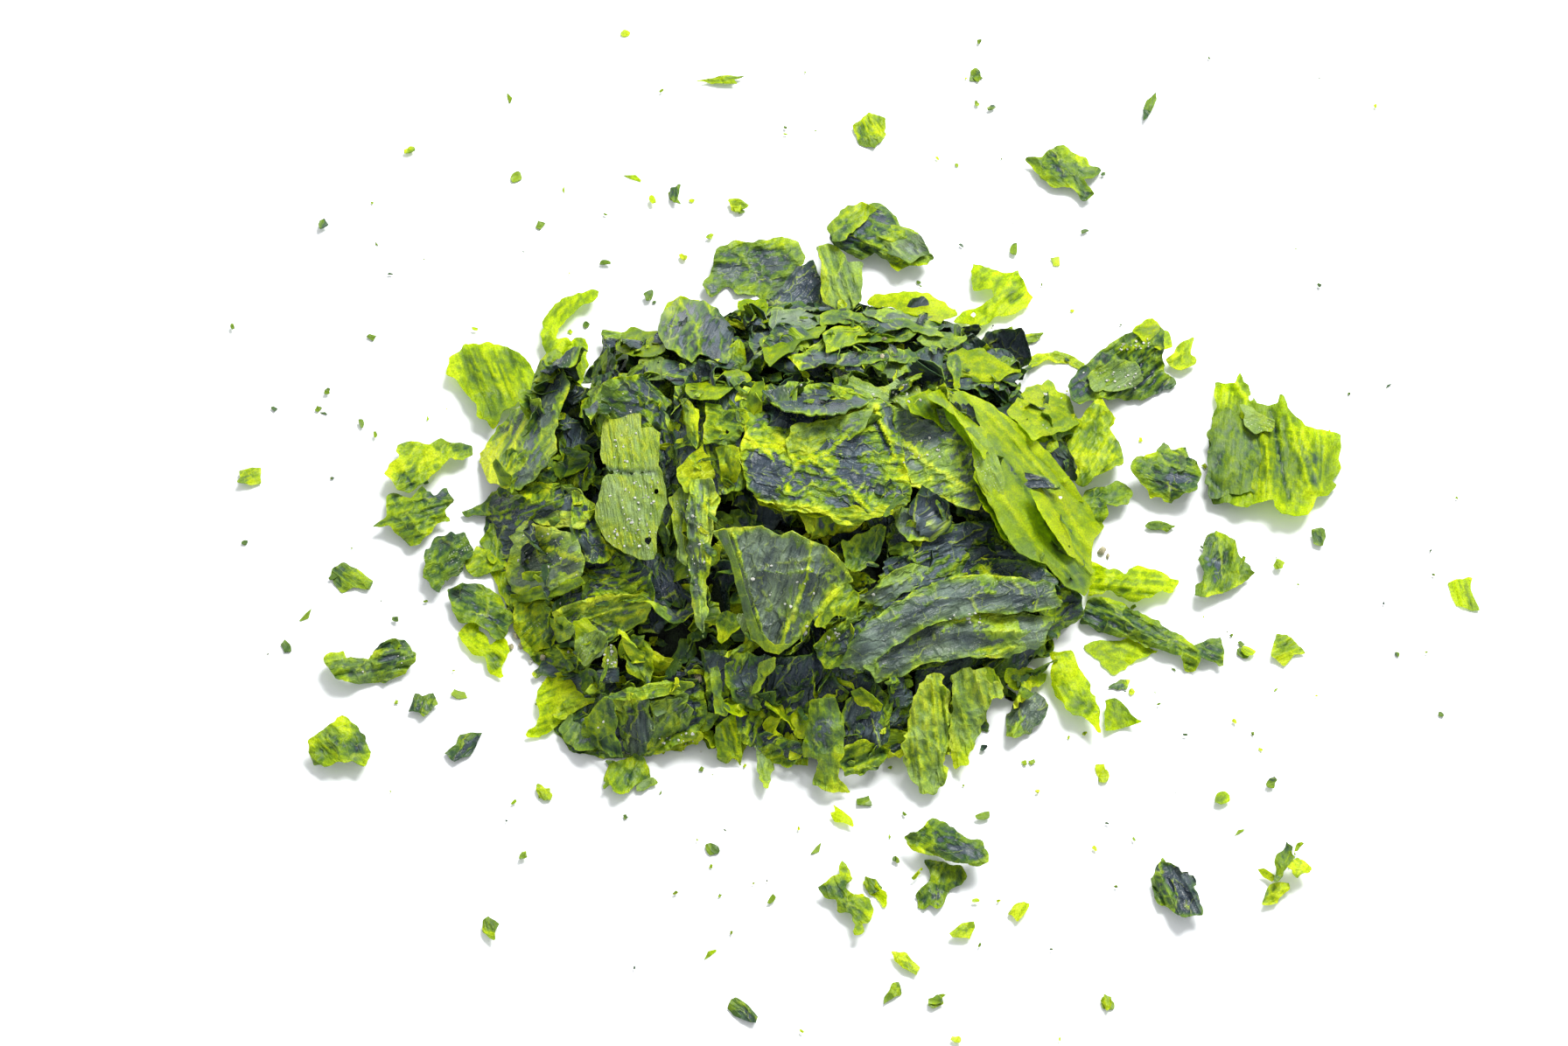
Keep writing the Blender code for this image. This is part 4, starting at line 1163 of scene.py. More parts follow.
def lay_front():
    """The flakes that hang and lie at the front."""
    leaf("front_long_blade", (690, 778), "slate", 6.0, 10, 0.7, 0.42,
        [0,20, 25,10, 60,3, 102,0, 107,7, 80,16, 45,21, 20,23], bow=0.8, pleat_wave=2.4)
    leaf("front_teal_leaf", (742, 792), "leaf", 4.8, 18, 0.52, 0.25,
        [0,12, 23,5, 48,0, 44,10, 26,20, 8,28], bloom=0.25)
    leaf("front_stems", (630, 796), "leaf", 4.5, 22, 0.5, 0.2,
        [0,24, 20,10, 42,2, 54,0, 48,8, 30,15, 16,25])
    leaf("front_left_leaf", (640, 812), "leaf", 3.2, 65, 0.62, 0.45,
        [0,22, 8,7, 26,0, 42,12, 52,38, 36,46, 16,46, 7,34], curl=2.2, glow_reach=1.5, bow=1.4,
        bloom=0.15)
    leaf("front_middle_leaf", (667, 797), "leaf", 4.6, 100, 0.58, 0.3,
        [14,9, 23,0, 33,3, 37,33, 39,53, 44,67, 31,69, 17,57, 3,41, 0,23], curl=2.2, bow=1.4, pleat=0.6,
        pleat_wave=3)
    leaf("front_middle_slab", (698, 792), "slab", 4.2, 98, 0.62, 0.3,
        [0,0, 42,7, 49,38, 41,69, 31,74, 19,68, 12,48, 4,23], curl=2.2, bloom=0.2, pleat=0.6,
        pleat_wave=3)
    leaf("front_right_slab", (738, 797), "slab", 4.0, 50, 0.64, 0.35,
        [4,6, 42,0, 54,15, 48,35, 32,49, 8,63, 0,59, 8,33], curl=2.2, bloom=0.15)
    leaf("front_gritty_clump", (742, 837), "salted", 1.4, 12, 0.3, 0.2,
        [0,22, 10,11, 28,3, 44,0, 60,1, 54,13, 38,21, 16,24], crinkle=0.35, tear=0.9)
    leaf("front_dark_corner", (776, 812), "leaf", 2.0, 0, 0.6, 0.45,
        [0,4, 24,0, 46,6, 40,16, 26,24, 8,26])
    leaf("front_dark_tip", (604, 755), "slate", 2.5, 12, 0.78, 0.3,
        [0,16, 11,7, 16,0, 32,0, 48,5, 44,13, 26,17, 8,20], spots=[(4, 16, 6, -0.5)])
    leaf("front_curled_leaf", (713, 726), "leaf", 3.5, -60, 0.58, 0.35,
        [0,24, 9,0, 23,9, 34,21, 33,42, 29,55, 15,50, 3,40], curl=2.2, bow=-1.5, spots=[(13, 34, 9, 0.4)])
    leaf("front_gritty_strip", (686, 735), "salted", 3.5, 80, 0.5, 0.3,
        [0,27, 6,9, 15,0, 20,17, 20,34, 8,35], bloom=0.5, crinkle=0.3)
    leaf("front_purple_scrap", (684, 764), "slate", 4.2, 20, 0.95, 0.15, [0,4, 22,0, 24,16, 6,18])
    leaf("front_green_slab", (655, 764), "leaf", 3.0, 70, 0.6, 0.25,
        [0,8, 15,0, 35,8, 37,26, 20,32, 5,26])
    leaf("front_strip", (810, 759), "leaf", 5.0, -80, 0.6, 0.25,
        [0,5, 11,0, 16,21, 14,36, 23,52, 19,58, 7,57, 4,36], bloom=0.15)
    leaf("front_ribbed_strip", (818, 816), "leaf", 1.8, -82, 0.54, 0.2,
        [0,16, 8,6, 22,0, 30,14, 32,29, 28,58, 20,52, 12,57, 1,51], pleat=1.0, pleat_wave=2.6)
    leaf("front_round_leaf", (829, 754), "slate", 4.0, -70, 0.78, 0.42,
        [0,6, 17,0, 39,2, 42,21, 33,38, 42,46, 39,59, 21,52, 9,47, 2,27], curl=2.2, glow_reach=1.6,
        bow=-2.0)
    leaf("front_light_fold", (858, 751), "leaf", 4.0, 55, 0.36, 0.2,
        [10,7, 28,0, 24,15, 15,29, 8,40, 0,43, 8,24], bloom=0.2)
    leaf("front_lime_bits", (868, 818), "leaf", 2.4, 30, 0.3, 0.2,
        [0,11, 12,0, 25,2, 20,16, 28,25, 12,24, 4,18], tear=0.8)
    leaf("front_crumpled_piece", (862, 838), "slab", 2.2, 20, 0.62, 0.3,
        [0,4, 13,0, 28,3, 40,12, 52,14, 58,23, 48,34, 38,39, 22,35, 8,24], curl=2.2, crease=1.0, bow=1.6)
    leaf("front_pale_strip", (862, 852), "leaf", 1.2, -75, 0.5, 0.2,
        [0,0, 10,9, 20,16, 25,28, 20,40, 16,52, 9,47, 4,28], bloom=0.4)
    leaf("front_broad_leaf", (917, 798), "leaf", 3.4, -84, 0.48, 0.3,
        [8,4, 38,0, 49,32, 46,64, 39,90, 54,107, 38,107, 21,102, 12,98, 16,84, 17,72, 2,68, 0,54, 7,32],
        bloom=0.12, bow=1.2, pleat_wave=2.8, fade=(-90, -0.12))
    leaf("front_rolled_leaf", (958, 847), "leaf", 3.2, 20, 0.62, 0.45,
        [8,5, 27,0, 48,3, 58,11, 55,26, 42,32, 24,38, 7,41, 0,25], curl=2.2, bow=1.6, pleat=0.9,
        pleat_wave=2.6)
    leaf("front_slate_middle", (964, 795), "slate", 2.8, 70, 0.72, 0.3,
        [1,5, 26,0, 46,10, 50,45, 36,55, 8,53, 0,30])
    leaf("front_green_wedge", (972, 785), "leaf", 4.0, -35, 0.36, 0.2, [0,5, 13,0, 38,21, 33,27, 8,21])
    leaf("hanging_flake", (1030, 768), "leaf", 3.2, -84, 0.36, 0.3,
        [0,84, 6,52, 20,14, 34,0, 48,4, 56,32, 56,72, 52,112, 50,132, 38,142, 22,138, 12,122, 6,102],
        bloom=0.3, bow=1.8, curl=2.2, pleat=1.3, pleat_wave=4.2, crease=1.2, tear=1.0)
    leaf("hanging_flake_right", (1086, 762), "leaf", 3.0, -78, 0.3, 0.25,
        [0,10, 19,3, 39,0, 54,13, 60,30, 49,40, 39,60, 32,78, 26,96, 19,109, 6,115, 0,104], bloom=0.25,
        pleat=1.2, curl=2.2, bow=1.6, pleat_wave=4.0, crease=1.2, tear=1.0)
    leaf("lime_standing_strip", (1124, 763), "thin", 3.4, -80, 0.26, 0.2, [0,0, 12,2, 19,23, 11,39, 3,27])
    leaf("slate_round_piece", (1150, 790), "slate", 1.2, 50, 0.86, 0.3,
        [0,52, 0,28, 12,12, 34,0, 46,10, 53,16, 45,29, 35,39, 28,48, 16,52], bloom=0.2, bow=1.4)
    leaf("right_foot_leaf", (1150, 762), "thin", 2.0, -8, 0.3, 0.2,
        [0,3, 22,0, 46,10, 38,24, 18,28, 0,23])


def lay_big_leaves():
    """All the leaves that can be told apart, from the lowest to those on top."""
    lay_under_leaves()
    lay_middle()
    lay_pale_flake()
    lay_crumpled_column()
    lay_left_side()
    lay_cupped_leaf()
    lay_left_front()
    lay_curved_slabs()
    lay_back()
    lay_front()


# ---------------------------------------------------------------- flakes on the table
def join_as(name, pieces):
    """Several pieces made one."""
    nothing_selected()
    for piece in pieces:
        piece.select_set(True)
    bpy.context.view_layer.objects.active = pieces[0]
    if len(pieces) > 1:
        bpy.ops.object.join()
    whole = bpy.context.object
    whole.name = name
    whole.data.name = name
    return whole


def layer(*looks, **choices):
    """One leaf of a flake, given as to leaf() but without its name."""
    return looks, {"flat_on": 0.6, **choices}


def flake_of(node, slot, layers):
    """The flake that stands for one CAD flake, made of leaves traced from the picture."""
    made = [leaf(f"{node}_leaf_{number}", *looks, slot=slot, **choices)
            for number, (looks, choices) in enumerate(layers)]
    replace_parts(join_as(f"{node}_leaf", made), node)


def lay_rim_flakes():
    """The flakes round the heap's foot."""
    def rim(node, *layers):
        flake_of(node, "green_leaf", layers)

    rim("long_fold_right",
        layer((1236, 680), "leaf", 0.8, -25, 0.64, 0.3,
            [7,5, 24,0, 49,12, 74,25, 109,42, 129,58, 144,52, 159,47, 165,65, 162,82, 136,70, 129,86,
            119,88, 114,68, 74,61, 54,50, 34,48, 0,32], bow=2.8, pleat=0.9, pleat_wave=3.2),
        layer((1235, 730), "thin", 0.0, -20, 0.12, 0.05,
            [0,12, 15,8, 40,2, 55,0, 87,15, 65,25, 40,45, 27,38, 13,20]))
    rim("clump_right",
        layer((1218, 366), "leaf", 1.0, 35, 0.68, 0.3,
            [0,74, 14,59, 27,46, 40,34, 57,24, 82,6, 100,0, 110,12, 114,32, 112,59, 125,64, 127,72,
            104,86, 82,90, 52,90, 27,92, 14,96, 7,89], bow=6.0, pleat=1.4, pleat_wave=4, crease=1.6),
        layer((1290, 362), "thin", 8.0, 10, 0.24, 0.3, [0,16, 28,0, 48,23, 50,33, 36,36, 20,30]),
        layer((1240, 410), "salted", 7.0, 30, 0.62, 0.3, [0,20, 30,0, 60,2, 70,26, 40,38, 10,38],
            bloom=0.4, crease=0.8))
    rim("chevron_back",
        layer((1090, 298), "thin", 0.8, 35, 0.1, 0.04,
            [20,0, 35,10, 60,14, 73,10, 78,27, 92,42, 85,54, 68,62, 45,67, 28,79, 18,72, 0,70, 8,57,
            30,52, 48,42, 42,32, 22,34], bow=2.2, crease=0.8, holes=[(22, 62, 3)],
            spots=[(68, 40, 10, 0.35), (40, 64, 10, 0.2)]))
    rim("clump_back",
        layer((942, 231), "leaf", 1.0, -20, 0.66, 0.35,
            [0,26, 18,21, 21,9, 38,0, 63,2, 78,14, 88,27, 108,34, 126,64, 118,73, 98,72, 83,82, 72,69,
            58,59, 43,67, 13,51], bow=6.0, pleat=1.3, pleat_wave=4, crease=1.6),
        layer((944, 232), "leaf", 7.5, 40, 0.52, 0.25, [0,25, 19,8, 41,0, 56,8, 41,24, 24,40, 6,44],
            bow=1.5),
        layer((1000, 258), "leaf", 7.0, -35, 0.68, 0.3, [0,4, 30,0, 52,10, 62,32, 40,42, 15,32],
            bloom=0.3, crease=0.9))
    rim("mottled_back",
        layer((805, 268), "leaf", 1.5, 8, 0.5, 0.3,
            [0,59, 10,37, 15,17, 35,7, 55,10, 88,0, 111,8, 113,32, 107,47, 93,67, 75,76, 40,67, 25,60,
            7,72], uneven=0.26, bow=2.2, crease=1.5, bloom=0.15,
            spots=[(75, 27, 16, 0.25), (30, 42, 12, 0.2)]),
        layer((876, 298), "slate", 1.0, 40, 0.97, 0.12, [0,52, 17,27, 34,7, 54,0, 62,22, 64,48, 44,58],
            bow=1.5),
        layer((935, 278), "leaf", 6.0, -75, 0.5, 0.25,
            [0,5, 10,0, 25,7, 35,22, 51,22, 50,67, 30,84, 5,67], bloom=0.35, bow=1.5, pleat=0.8,
            pleat_wave=3))
    rim("curled_sliver",
        layer((618, 331), "thin", 2.0, 42, 0.12, 0.05,
            [67,0, 65,7, 50,17, 37,29, 27,35, 20,43, 18,57, 34,54, 37,64, 22,73, 7,75, 0,66, 2,41, 10,25,
            18,15, 32,7, 50,2], bow=1.6, spots=[(8, 67, 10, 0.4)]),
        layer((636, 386), "thin", 3.0, -70, 0.24, 0.3, [7,9, 22,0, 34,2, 37,32, 28,54, 14,54, 8,28, 0,22]))
    rim("fan_left",
        layer((511, 392), "thin", 1.5, 110, 0.26, 0.2,
            [1,16, 15,9, 19,1, 45,0, 69,3, 84,10, 95,23, 103,38, 109,48, 97,54, 81,70, 64,78, 54,105,
            45,90, 32,84, 35,70, 21,58, 15,48, 9,38, 0,35], glow_reach=2.0, bow=2.6, crease=0.8,
            pleat=0.7, pleat_wave=4, spots=[(44, 38, 26, 0.14), (54, 78, 16, 0.12)]))
    rim("folded_left",
        layer((441, 502), "leaf", 1.5, 20, 0.3, 0.2,
            [0,38, 4,30, 14,18, 9,13, 17,6, 37,2, 49,6, 64,0, 79,4, 99,8, 101,18, 89,26, 74,22, 64,33,
            39,53, 27,63, 14,56], bow=2.4, crease=0.9, spots=[(27, 43, 16, 0.32), (87, 13, 12, 0.25)]))
    rim("layered_left",
        layer((425, 555), "leaf", 1.2, 15, 0.6, 0.4,
            [15,10, 30,8, 45,15, 57,0, 70,10, 85,5, 93,17, 85,30, 90,40, 75,45, 67,55, 55,68, 43,70,
            35,60, 19,46, 0,47, 15,35], bow=2.0, crease=1.0, pleat=0.9, pleat_wave=3))
    rim("crinkled_left",
        layer((484, 608), "salted", 1.0, 30, 0.74, 0.2,
            [1,32, 6,17, 16,4, 31,0, 46,4, 56,12, 58,22, 46,37, 41,50, 26,57, 18,70, 6,62, 0,52],
            bow=3.0, crease=1.1, crinkle=0.35, tear=0.8))
    rim("green_left",
        layer((508, 668), "leaf", 1.0, -30, 0.58, 0.25,
            [0,4, 22,0, 44,0, 62,12, 70,27, 82,38, 67,61, 57,62, 48,52, 32,44, 17,44, 7,27], bow=1.6,
            fade=(-60, -0.1)))
    rim("bright_left",
        layer((524, 712), "thin", 0.8, -45, 0.1, 0.05,
            [0,12, 8,2, 21,0, 36,23, 51,13, 60,33, 48,53, 53,64, 36,60, 28,38, 14,35, 6,24], bow=1.2,
            spots=[(42, 45, 9, 0.5)]))
    rim("bright_fan_front",
        layer((601, 766), "thin", 1.6, 25, 0.04, 0.04,
            [49,0, 31,6, 19,13, 11,24, 11,40, 16,52, 11,64, 0,75, 15,77, 27,71, 39,60, 54,46, 81,34,
            63,28, 55,14], bow=1.8, pleat=0.7, pleat_wave=3, spots=[(49, 46, 12, 0.2)]))
    rim("crumb_clump_front",
        layer((690, 861), "leaf", 1.0, 60, 0.52, 0.35,
            [0,39, 2,24, 7,12, 16,10, 32,7, 35,0, 45,3, 51,17, 53,29, 36,38, 29,47, 17,47, 10,39],
            bow=2.0, crease=0.9),
        layer((723, 890), "leaf", 0.8, 25, 0.55, 0.3, [0,14, 12,3, 22,0, 28,5, 17,11, 5,18], bloom=0.3),
        layer((691, 869), "leaf", 2.0, 10, 0.5, 0.3, [0,3, 9,0, 15,4, 7,9]))
    rim("bright_fold_right",
        layer((1202, 743), "thin", 1.4, -60, 0.14, 0.06,
            [0,5, 8,2, 23,0, 33,22, 44,42, 54,69, 56,95, 40,81, 20,67, 4,53, 0,32], bow=1.8,
            spots=[(33, 69, 16, 0.25)]),
        layer((1262, 797), "thin", 0.8, -80, 0.14, 0.06, [0,3, 13,0, 28,15, 41,28, 23,35, 0,40]),
        layer((1266, 776), "slate", 0.6, 30, 0.7, 0.3, [0,14, 14,0, 27,2, 21,14]))
    rim("curl_right",
        layer((1233, 549), "leaf", 1.4, 20, 0.62, 0.3,
            [0,23, 7,13, 29,6, 42,0, 57,6, 63,14, 57,31, 32,29, 35,39, 25,51, 7,32], bow=2.6))
    rim("blade_right",
        layer((1245, 644), "thin", 1.0, -5, 0.22, 0.15,
            [1,0, 17,4, 40,11, 55,1, 75,8, 105,21, 95,32, 75,35, 60,44, 45,41, 25,31, 0,36], bow=1.6,
            pleat=0.7, pleat_wave=3))
    rim("small_fold_right",
        layer((1332, 387), "leaf", 1.0, 40, 0.34, 0.25,
            [0,25, 13,13, 20,3, 31,0, 29,19, 38,23, 34,30, 18,35, 3,33], bow=1.2))


SMALL_TONES = (0.6, 0.18, 0.52, 0.45, 0.35, 0.7, 0.26)  # taken in turn by the small flakes


def lay_loose_flakes():
    """The flakes that lie apart: the larger are traced, the small follow their CAD flake."""
    def loose(number, *layers):
        flake_of(f"loose_flake_{number:02d}", "bright_leaf", layers)

    loose(1,
        layer((1379, 426), "thin", 2.0, 86, 0.3, 0.14,
            [9,9, 21,12, 33,12, 38,0, 42,11, 49,14, 51,24, 58,35, 71,37, 81,34, 84,24, 90,27, 93,40,
            101,49, 113,60, 124,64, 137,65, 154,71, 154,86, 151,99, 155,109, 145,124, 150,129, 139,140,
            126,142, 121,154, 115,162, 101,164, 86,162, 78,152, 77,144, 59,148, 46,153, 21,149, 7,150,
            0,125, 3,102, 3,79, 7,50, 12,40, 9,26], glow_reach=2.2, bow=3.0, pleat=0.9, pleat_wave=5.5,
            crease=0.4, tear=0.3, cell=0.6, fade=(0, -0.13), holes=[(51, 29, 3)],
            spots=[(16, 104, 40, 0.18), (21, 24, 16, -0.3), (121, 99, 9, 0.4), (124, 122, 8, 0.35),
                   (86, 94, 8, 0.2)],
            ridges=[([86,29, 101,74, 119,134], 2.2, -0.15, 2.0),
                    ([73,44, 83,94, 93,144], -1.4, 0.2, 1.4), ([61,54, 69,94, 73,139], 1.8, -0.1, 2.0),
                    ([109,69, 121,104, 131,134], 1.6, -0.1, 1.6), ([33,14, 46,29, 41,54], 0.9, -0.3)]),
        layer((1379, 468), "thin", 4.0, 86, 0.5, 0.06,
            [5,10, 21,0, 49,12, 83,32, 85,62, 73,94, 41,96, 16,98, 5,102, 0,77, 3,42], bow=1.2,
            bloom=0.14, pleat=0.4, uneven=0.06, tear=0.8, spots=[(7, 52, 16, 0.2)]),
        layer((1417, 462), "salted", 5.6, -20, 0.38, 0.2, [0,0, 23,8, 41,18, 35,30, 17,36, 7,24],
            bloom=0.45))
    loose(2,
        layer((1033, 936), "leaf", 3.0, -28, 0.58, 0.5,
            [0,21, 10,16, 19,11, 25,2, 35,0, 52,6, 63,16, 77,24, 90,27, 97,39, 98,50, 87,52, 67,51,
            42,46, 27,40, 12,36, 5,31], glow_reach=1.4, bow=2.0, pleat=0.6, pleat_wave=4),
        layer((1048, 984), "leaf", 0.8, 72, 0.52, 0.3,
            [8,0, 27,2, 52,7, 57,19, 50,28, 38,32, 32,44, 29,53, 22,56, 15,49, 7,55, 0,56, 0,41, 5,31,
            13,24, 12,12], bow=1.4),
        layer((1042, 990), "leaf", 1.0, 45, 0.4, 0.3, [0,14, 10,2, 14,0, 12,6, 3,16], tear=0.15))
    loose(3,
        layer((370, 727), "leaf", 1.0, 12, 0.7, 0.5,
            [0,26, 8,18, 22,17, 28,25, 50,25, 62,14, 74,4, 82,0, 93,6, 98,14, 107,19, 104,30, 94,43,
            75,51, 60,55, 42,56, 28,53, 14,48, 6,39], bloom=0.12, glow_reach=1.4, bow=3.5, crease=1.0,
            pleat=1.1, pleat_wave=3),
        layer((424, 728), "leaf", 4.8, 35, 0.6, 0.2, [0,18, 16,7, 28,0, 36,10, 26,24, 8,27], bow=0.8))
    loose(4,
        layer((1290, 505), "leaf", 1.0, -20, 0.7, 0.5,
            [0,27, 15,17, 32,13, 40,0, 50,10, 65,8, 75,20, 83,35, 80,50, 48,68, 25,63, 18,53, 5,34],
            glow_reach=1.4, bow=5.0, crease=2.0, pleat=1.2, pleat_wave=3.4, tear=0.8,
            spots=[(42, 43, 14, 0.35), (55, 10, 12, -0.25), (76, 30, 10, -0.25)]),
        layer((1318, 514), "leaf", 6.5, 15, 0.64, 0.3, [0,8, 20,0, 40,6, 34,24, 12,22], bloom=0.25))
    loose(5,
        layer((1360, 605), "leaf", 1.2, 75, 0.46, 0.25,
            [0,78, 15,57, 10,35, 18,10, 30,0, 52,10, 56,30, 75,50, 62,63, 45,70, 30,75], bow=1.8,
            crease=0.7, spots=[(35, 35, 16, 0.15), (20, 71, 12, -0.25)]))
    loose(6,
        layer((351, 816), "leaf", 1.2, -45, 0.42, 0.2,
            [40,0, 49,6, 59,16, 66,28, 75,43, 71,51, 66,60, 51,54, 37,54, 19,61, 9,57, 1,44, 0,32, 13,22,
            27,12], glow_reach=1.6, bow=1.6,
            spots=[(24, 36, 22, 0.22), (54, 44, 12, 0.3), (44, 12, 14, -0.2)]))
    loose(7,
        layer((1173, 165), "leaf", 1.0, -35, 0.68, 0.5,
            [0,18, 17,13, 34,3, 43,0, 51,7, 65,15, 86,31, 77,39, 68,41, 75,56, 68,64, 53,52, 32,48,
            15,38, 7,25], glow_reach=1.4, bow=2.2, crease=0.9,
            spots=[(52, 10, 16, -0.15), (42, 35, 14, 0.15)]))
    loose(8,
        layer((1316, 981), "slate", 1.4, -65, 0.92, 0.32,
            [12,0, 27,9, 34,17, 43,12, 50,31, 56,53, 59,67, 44,66, 34,69, 14,54, 4,45, 0,24, 3,14],
            bow=3.0, pleat=1.6, pleat_wave=4, crease=0.8))
    loose(9,
        layer((935, 983), "leaf", 1.2, -55, 0.64, 0.5,
            [27,0, 37,13, 39,22, 31,33, 40,39, 50,38, 61,46, 63,57, 58,72, 50,73, 53,83, 41,88, 36,82,
            42,73, 35,61, 22,58, 20,47, 15,46, 7,44, 0,31, 13,20, 25,16, 24,7], glow_reach=1.4, bow=1.5,
            crease=0.8),
        layer((986, 1005), "thin", 1.0, -40, 0.2, 0.3,
            [0,3, 14,0, 18,11, 25,15, 26,35, 22,35, 17,21, 4,13]))
    loose(10,
        layer((1456, 961), "leaf", 2.0, 65, 0.48, 0.3,
            [14,0, 21,5, 22,19, 14,29, 7,47, 0,47, 4,35, 1,24, 8,11], bow=1.2),
        layer((1478, 962), "leaf", 2.5, 45, 0.3, 0.3, [0,14, 4,2, 15,0, 8,6, 2,17], tear=0.2),
        layer((1470, 980), "leaf", 1.5, 10, 0.36, 0.3, [0,6, 12,0, 24,5, 27,13, 18,20, 12,26, 6,16],
            bow=1.2),
        layer((1437, 993), "leaf", 1.0, -35, 0.3, 0.3, [0,1, 8,0, 22,10, 17,16, 7,10], tear=0.2),
        layer((1444, 1008), "leaf", 1.0, 40, 0.4, 0.3, [7,5, 18,0, 29,2, 30,10, 16,25, 0,25], bow=1.0))
    for number in range(11, 41):
        follow_cad_flake(number, SMALL_TONES[number % len(SMALL_TONES)])


def follow_cad_flake(number, tone):
    """A small flake with the reach and lie of its CAD flake."""
    node = f"loose_flake_{number:02d}"
    solid = frame["nodes"][node]
    points = np.array([solid.matrix_world @ vertex.co for vertex in solid.data.vertices])
    middle = (points.min(0) + points.max(0)) / 2
    away = (points - middle)[:, :2]
    _, axes = np.linalg.eigh(away.T @ away)
    along = axes[:, 1]
    across = np.array([-along[1], along[0]])
    long = np.abs(away @ along).max() / MM
    wide = np.abs(away @ across).max() / MM
    name = f"{node}_leaf"
    dice = np.random.default_rng(number)
    how = {**USUAL, "tone": tone, "bow": 0.9, "crease": 0.35, "glow": 0.2, "curl": 0.5,
           "tear": 0.16 + 0.03 * wide, "cell": min(0.55, 0.28 * wide), "pleat_wave": 2.6,
           "crinkle": 0.08}
    outline = wild_outline(dice, long, wide)
    piece, flat, edge = cut_leaf(name, outline, how["cell"], how["tear"], (), number * 7)
    a, b = flat.T
    rise = 0.6 + crumpled(a, b, edge, number * 7, how)
    places = np.column_stack([middle[:2] + (a[:, None] * along + b[:, None] * across) * MM,
                              np.maximum(rise, 0.3 + 0.1 * np.abs(rise)) * MM])
    piece.data.vertices.foreach_set("co", places.ravel())
    dress(piece, a, b, edge, number, how, rise)
    face_the_lens(piece)
    thicken(piece, 0.14)
    piece.data.materials.append(FINISH["thin" if tone < 0.25 else "leaf"])
    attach(piece, "root")
    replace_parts(piece, node)


def wild_outline(dice, long, wide, corners=8):
    """An uneven outline that fills a box of this half length and half width, in mm."""
    turns = (np.arange(corners) + dice.uniform(-0.4, 0.4, corners)) * 2 * math.pi / corners
    reach = dice.uniform(0.45, 1.2, corners)
    outline = np.column_stack([np.cos(turns) * reach, np.sin(turns) * reach])
    outline /= np.abs(outline).max(0)
    return outline * (long, wide)


# ---------------------------------------------------------------- the bed of flakes
CAVES = (
    # the hollows between the big leaves, where the bed's flakes sink deeper and are painted darker as
    # shade
    [735,440, 752,445, 775,500, 782,560, 770,640, 756,640, 766,560, 752,490],
    [800,560, 815,570, 822,620, 842,690, 838,722, 808,720, 812,640],
    [850,588, 905,596, 962,606, 1010,600, 1010,612, 962,616, 900,606, 850,600],
    [1110,575, 1126,600, 1140,640, 1120,640, 1105,600],
    [1080,610, 1160,612, 1160,630, 1090,634],
    [800,730, 868,745, 864,775, 842,780, 826,760, 800,752],
    [916,380, 942,378, 940,400, 918,402],
)
KEPT_CLEAR = (
    # the big smooth leaves, which carry few shreds
    [1060,450, 1130,460, 1262,602, 1240,682, 1112,545],
    [703,440, 755,495, 762,575, 748,640, 688,612, 686,520],
    [815,608, 905,607, 975,665, 890,746, 842,705],
    [846,470, 1000,455, 1041,562, 978,600, 862,570],
    [1022,466, 1095,470, 1120,586, 1042,556],
    [950,760, 1000,690, 1050,628, 1120,604, 1200,655, 1236,700, 1160,745, 1040,765],
    [638,413, 652,445, 636,515, 560,553, 548,518],
    [1082,407, 1125,400, 1165,424, 1120,436],
    [1150,470, 1190,438, 1232,482, 1182,503],
    [868,386, 905,352, 943,352, 915,400, 880,419],
    [988,347, 1060,336, 1093,360, 1070,380, 985,365],
    [757,360, 775,339, 820,355, 838,400, 800,412, 752,390],
    [1030,852, 1050,782, 1078,772, 1125,762, 1146,792, 1105,871, 1060,910],
    [925,802, 955,798, 966,830, 971,905, 929,896],
    [640,834, 666,812, 700,797, 747,799, 792,812, 746,860, 700,862],
    [578,600, 640,555, 668,600, 663,665, 600,682],
    [630,700, 700,680, 746,690, 690,735, 655,730],
)
BED_KINDS = (
    # finish, half length, half width, bow, crease, then the fold: turn, start, bend
    ("slab", 9.0, 6.5, 1.5, 1.1, None),
    ("leaf", 8.0, 5.0, 1.8, 1.1, (0.5, 0.1, 2.4)),
    ("slate", 8.5, 5.5, -1.5, 0.9, None),
    ("leaf", 11.0, 3.6, 1.2, 0.8, (1.4, 0.3, 1.5)),
    ("slab", 7.0, 5.5, 2.5, 1.5, (2.2, 0.2, 2.0)),
    ("thin", 6.0, 4.0, 1.2, 1.1, (1.0, 0.0, 1.2)),
    ("slate", 10.0, 4.0, 1.5, 0.9, (1.6, 0.4, 1.8)),
    ("leaf", 6.5, 4.5, -2.2, 1.4, None),
    ("slab", 10.0, 7.0, 1.0, 1.5, (0.8, 0.3, 1.1)),
    ("salted", 6.0, 4.5, 1.2, 1.4, (2.6, 0.2, 1.6)),
    ("leaf", 7.5, 3.6, 2.0, 0.8, (0.2, 0.5, 2.2)),
    ("slab", 6.0, 4.0, 1.2, 1.4, (1.8, -0.2, 1.2)),
    ("leaf", 5.0, 4.0, 1.5, 1.1, None),
    ("slate", 6.0, 4.6, 2.0, 1.1, (0.9, 0.0, 1.9)),
    ("thin", 8.0, 3.0, 1.2, 0.7, (1.2, 0.2, 1.4)),
    ("slab", 8.0, 5.0, -1.5, 1.2, (2.9, 0.3, 2.3)),
    ("slate", 7.0, 6.0, 1.0, 1.6, (0.4, 0.4, 1.4)),
    ("leaf", 9.0, 6.0, 1.5, 1.6, (2.0, 0.1, 1.0)),
)


def inside_any(shows, outlines):
    """Which points of the picture lie inside one of these outlines."""
    inside = np.zeros(len(shows), bool)
    for outline in outlines:
        inside |= depth_inside(shows, outline) > 0
    return inside


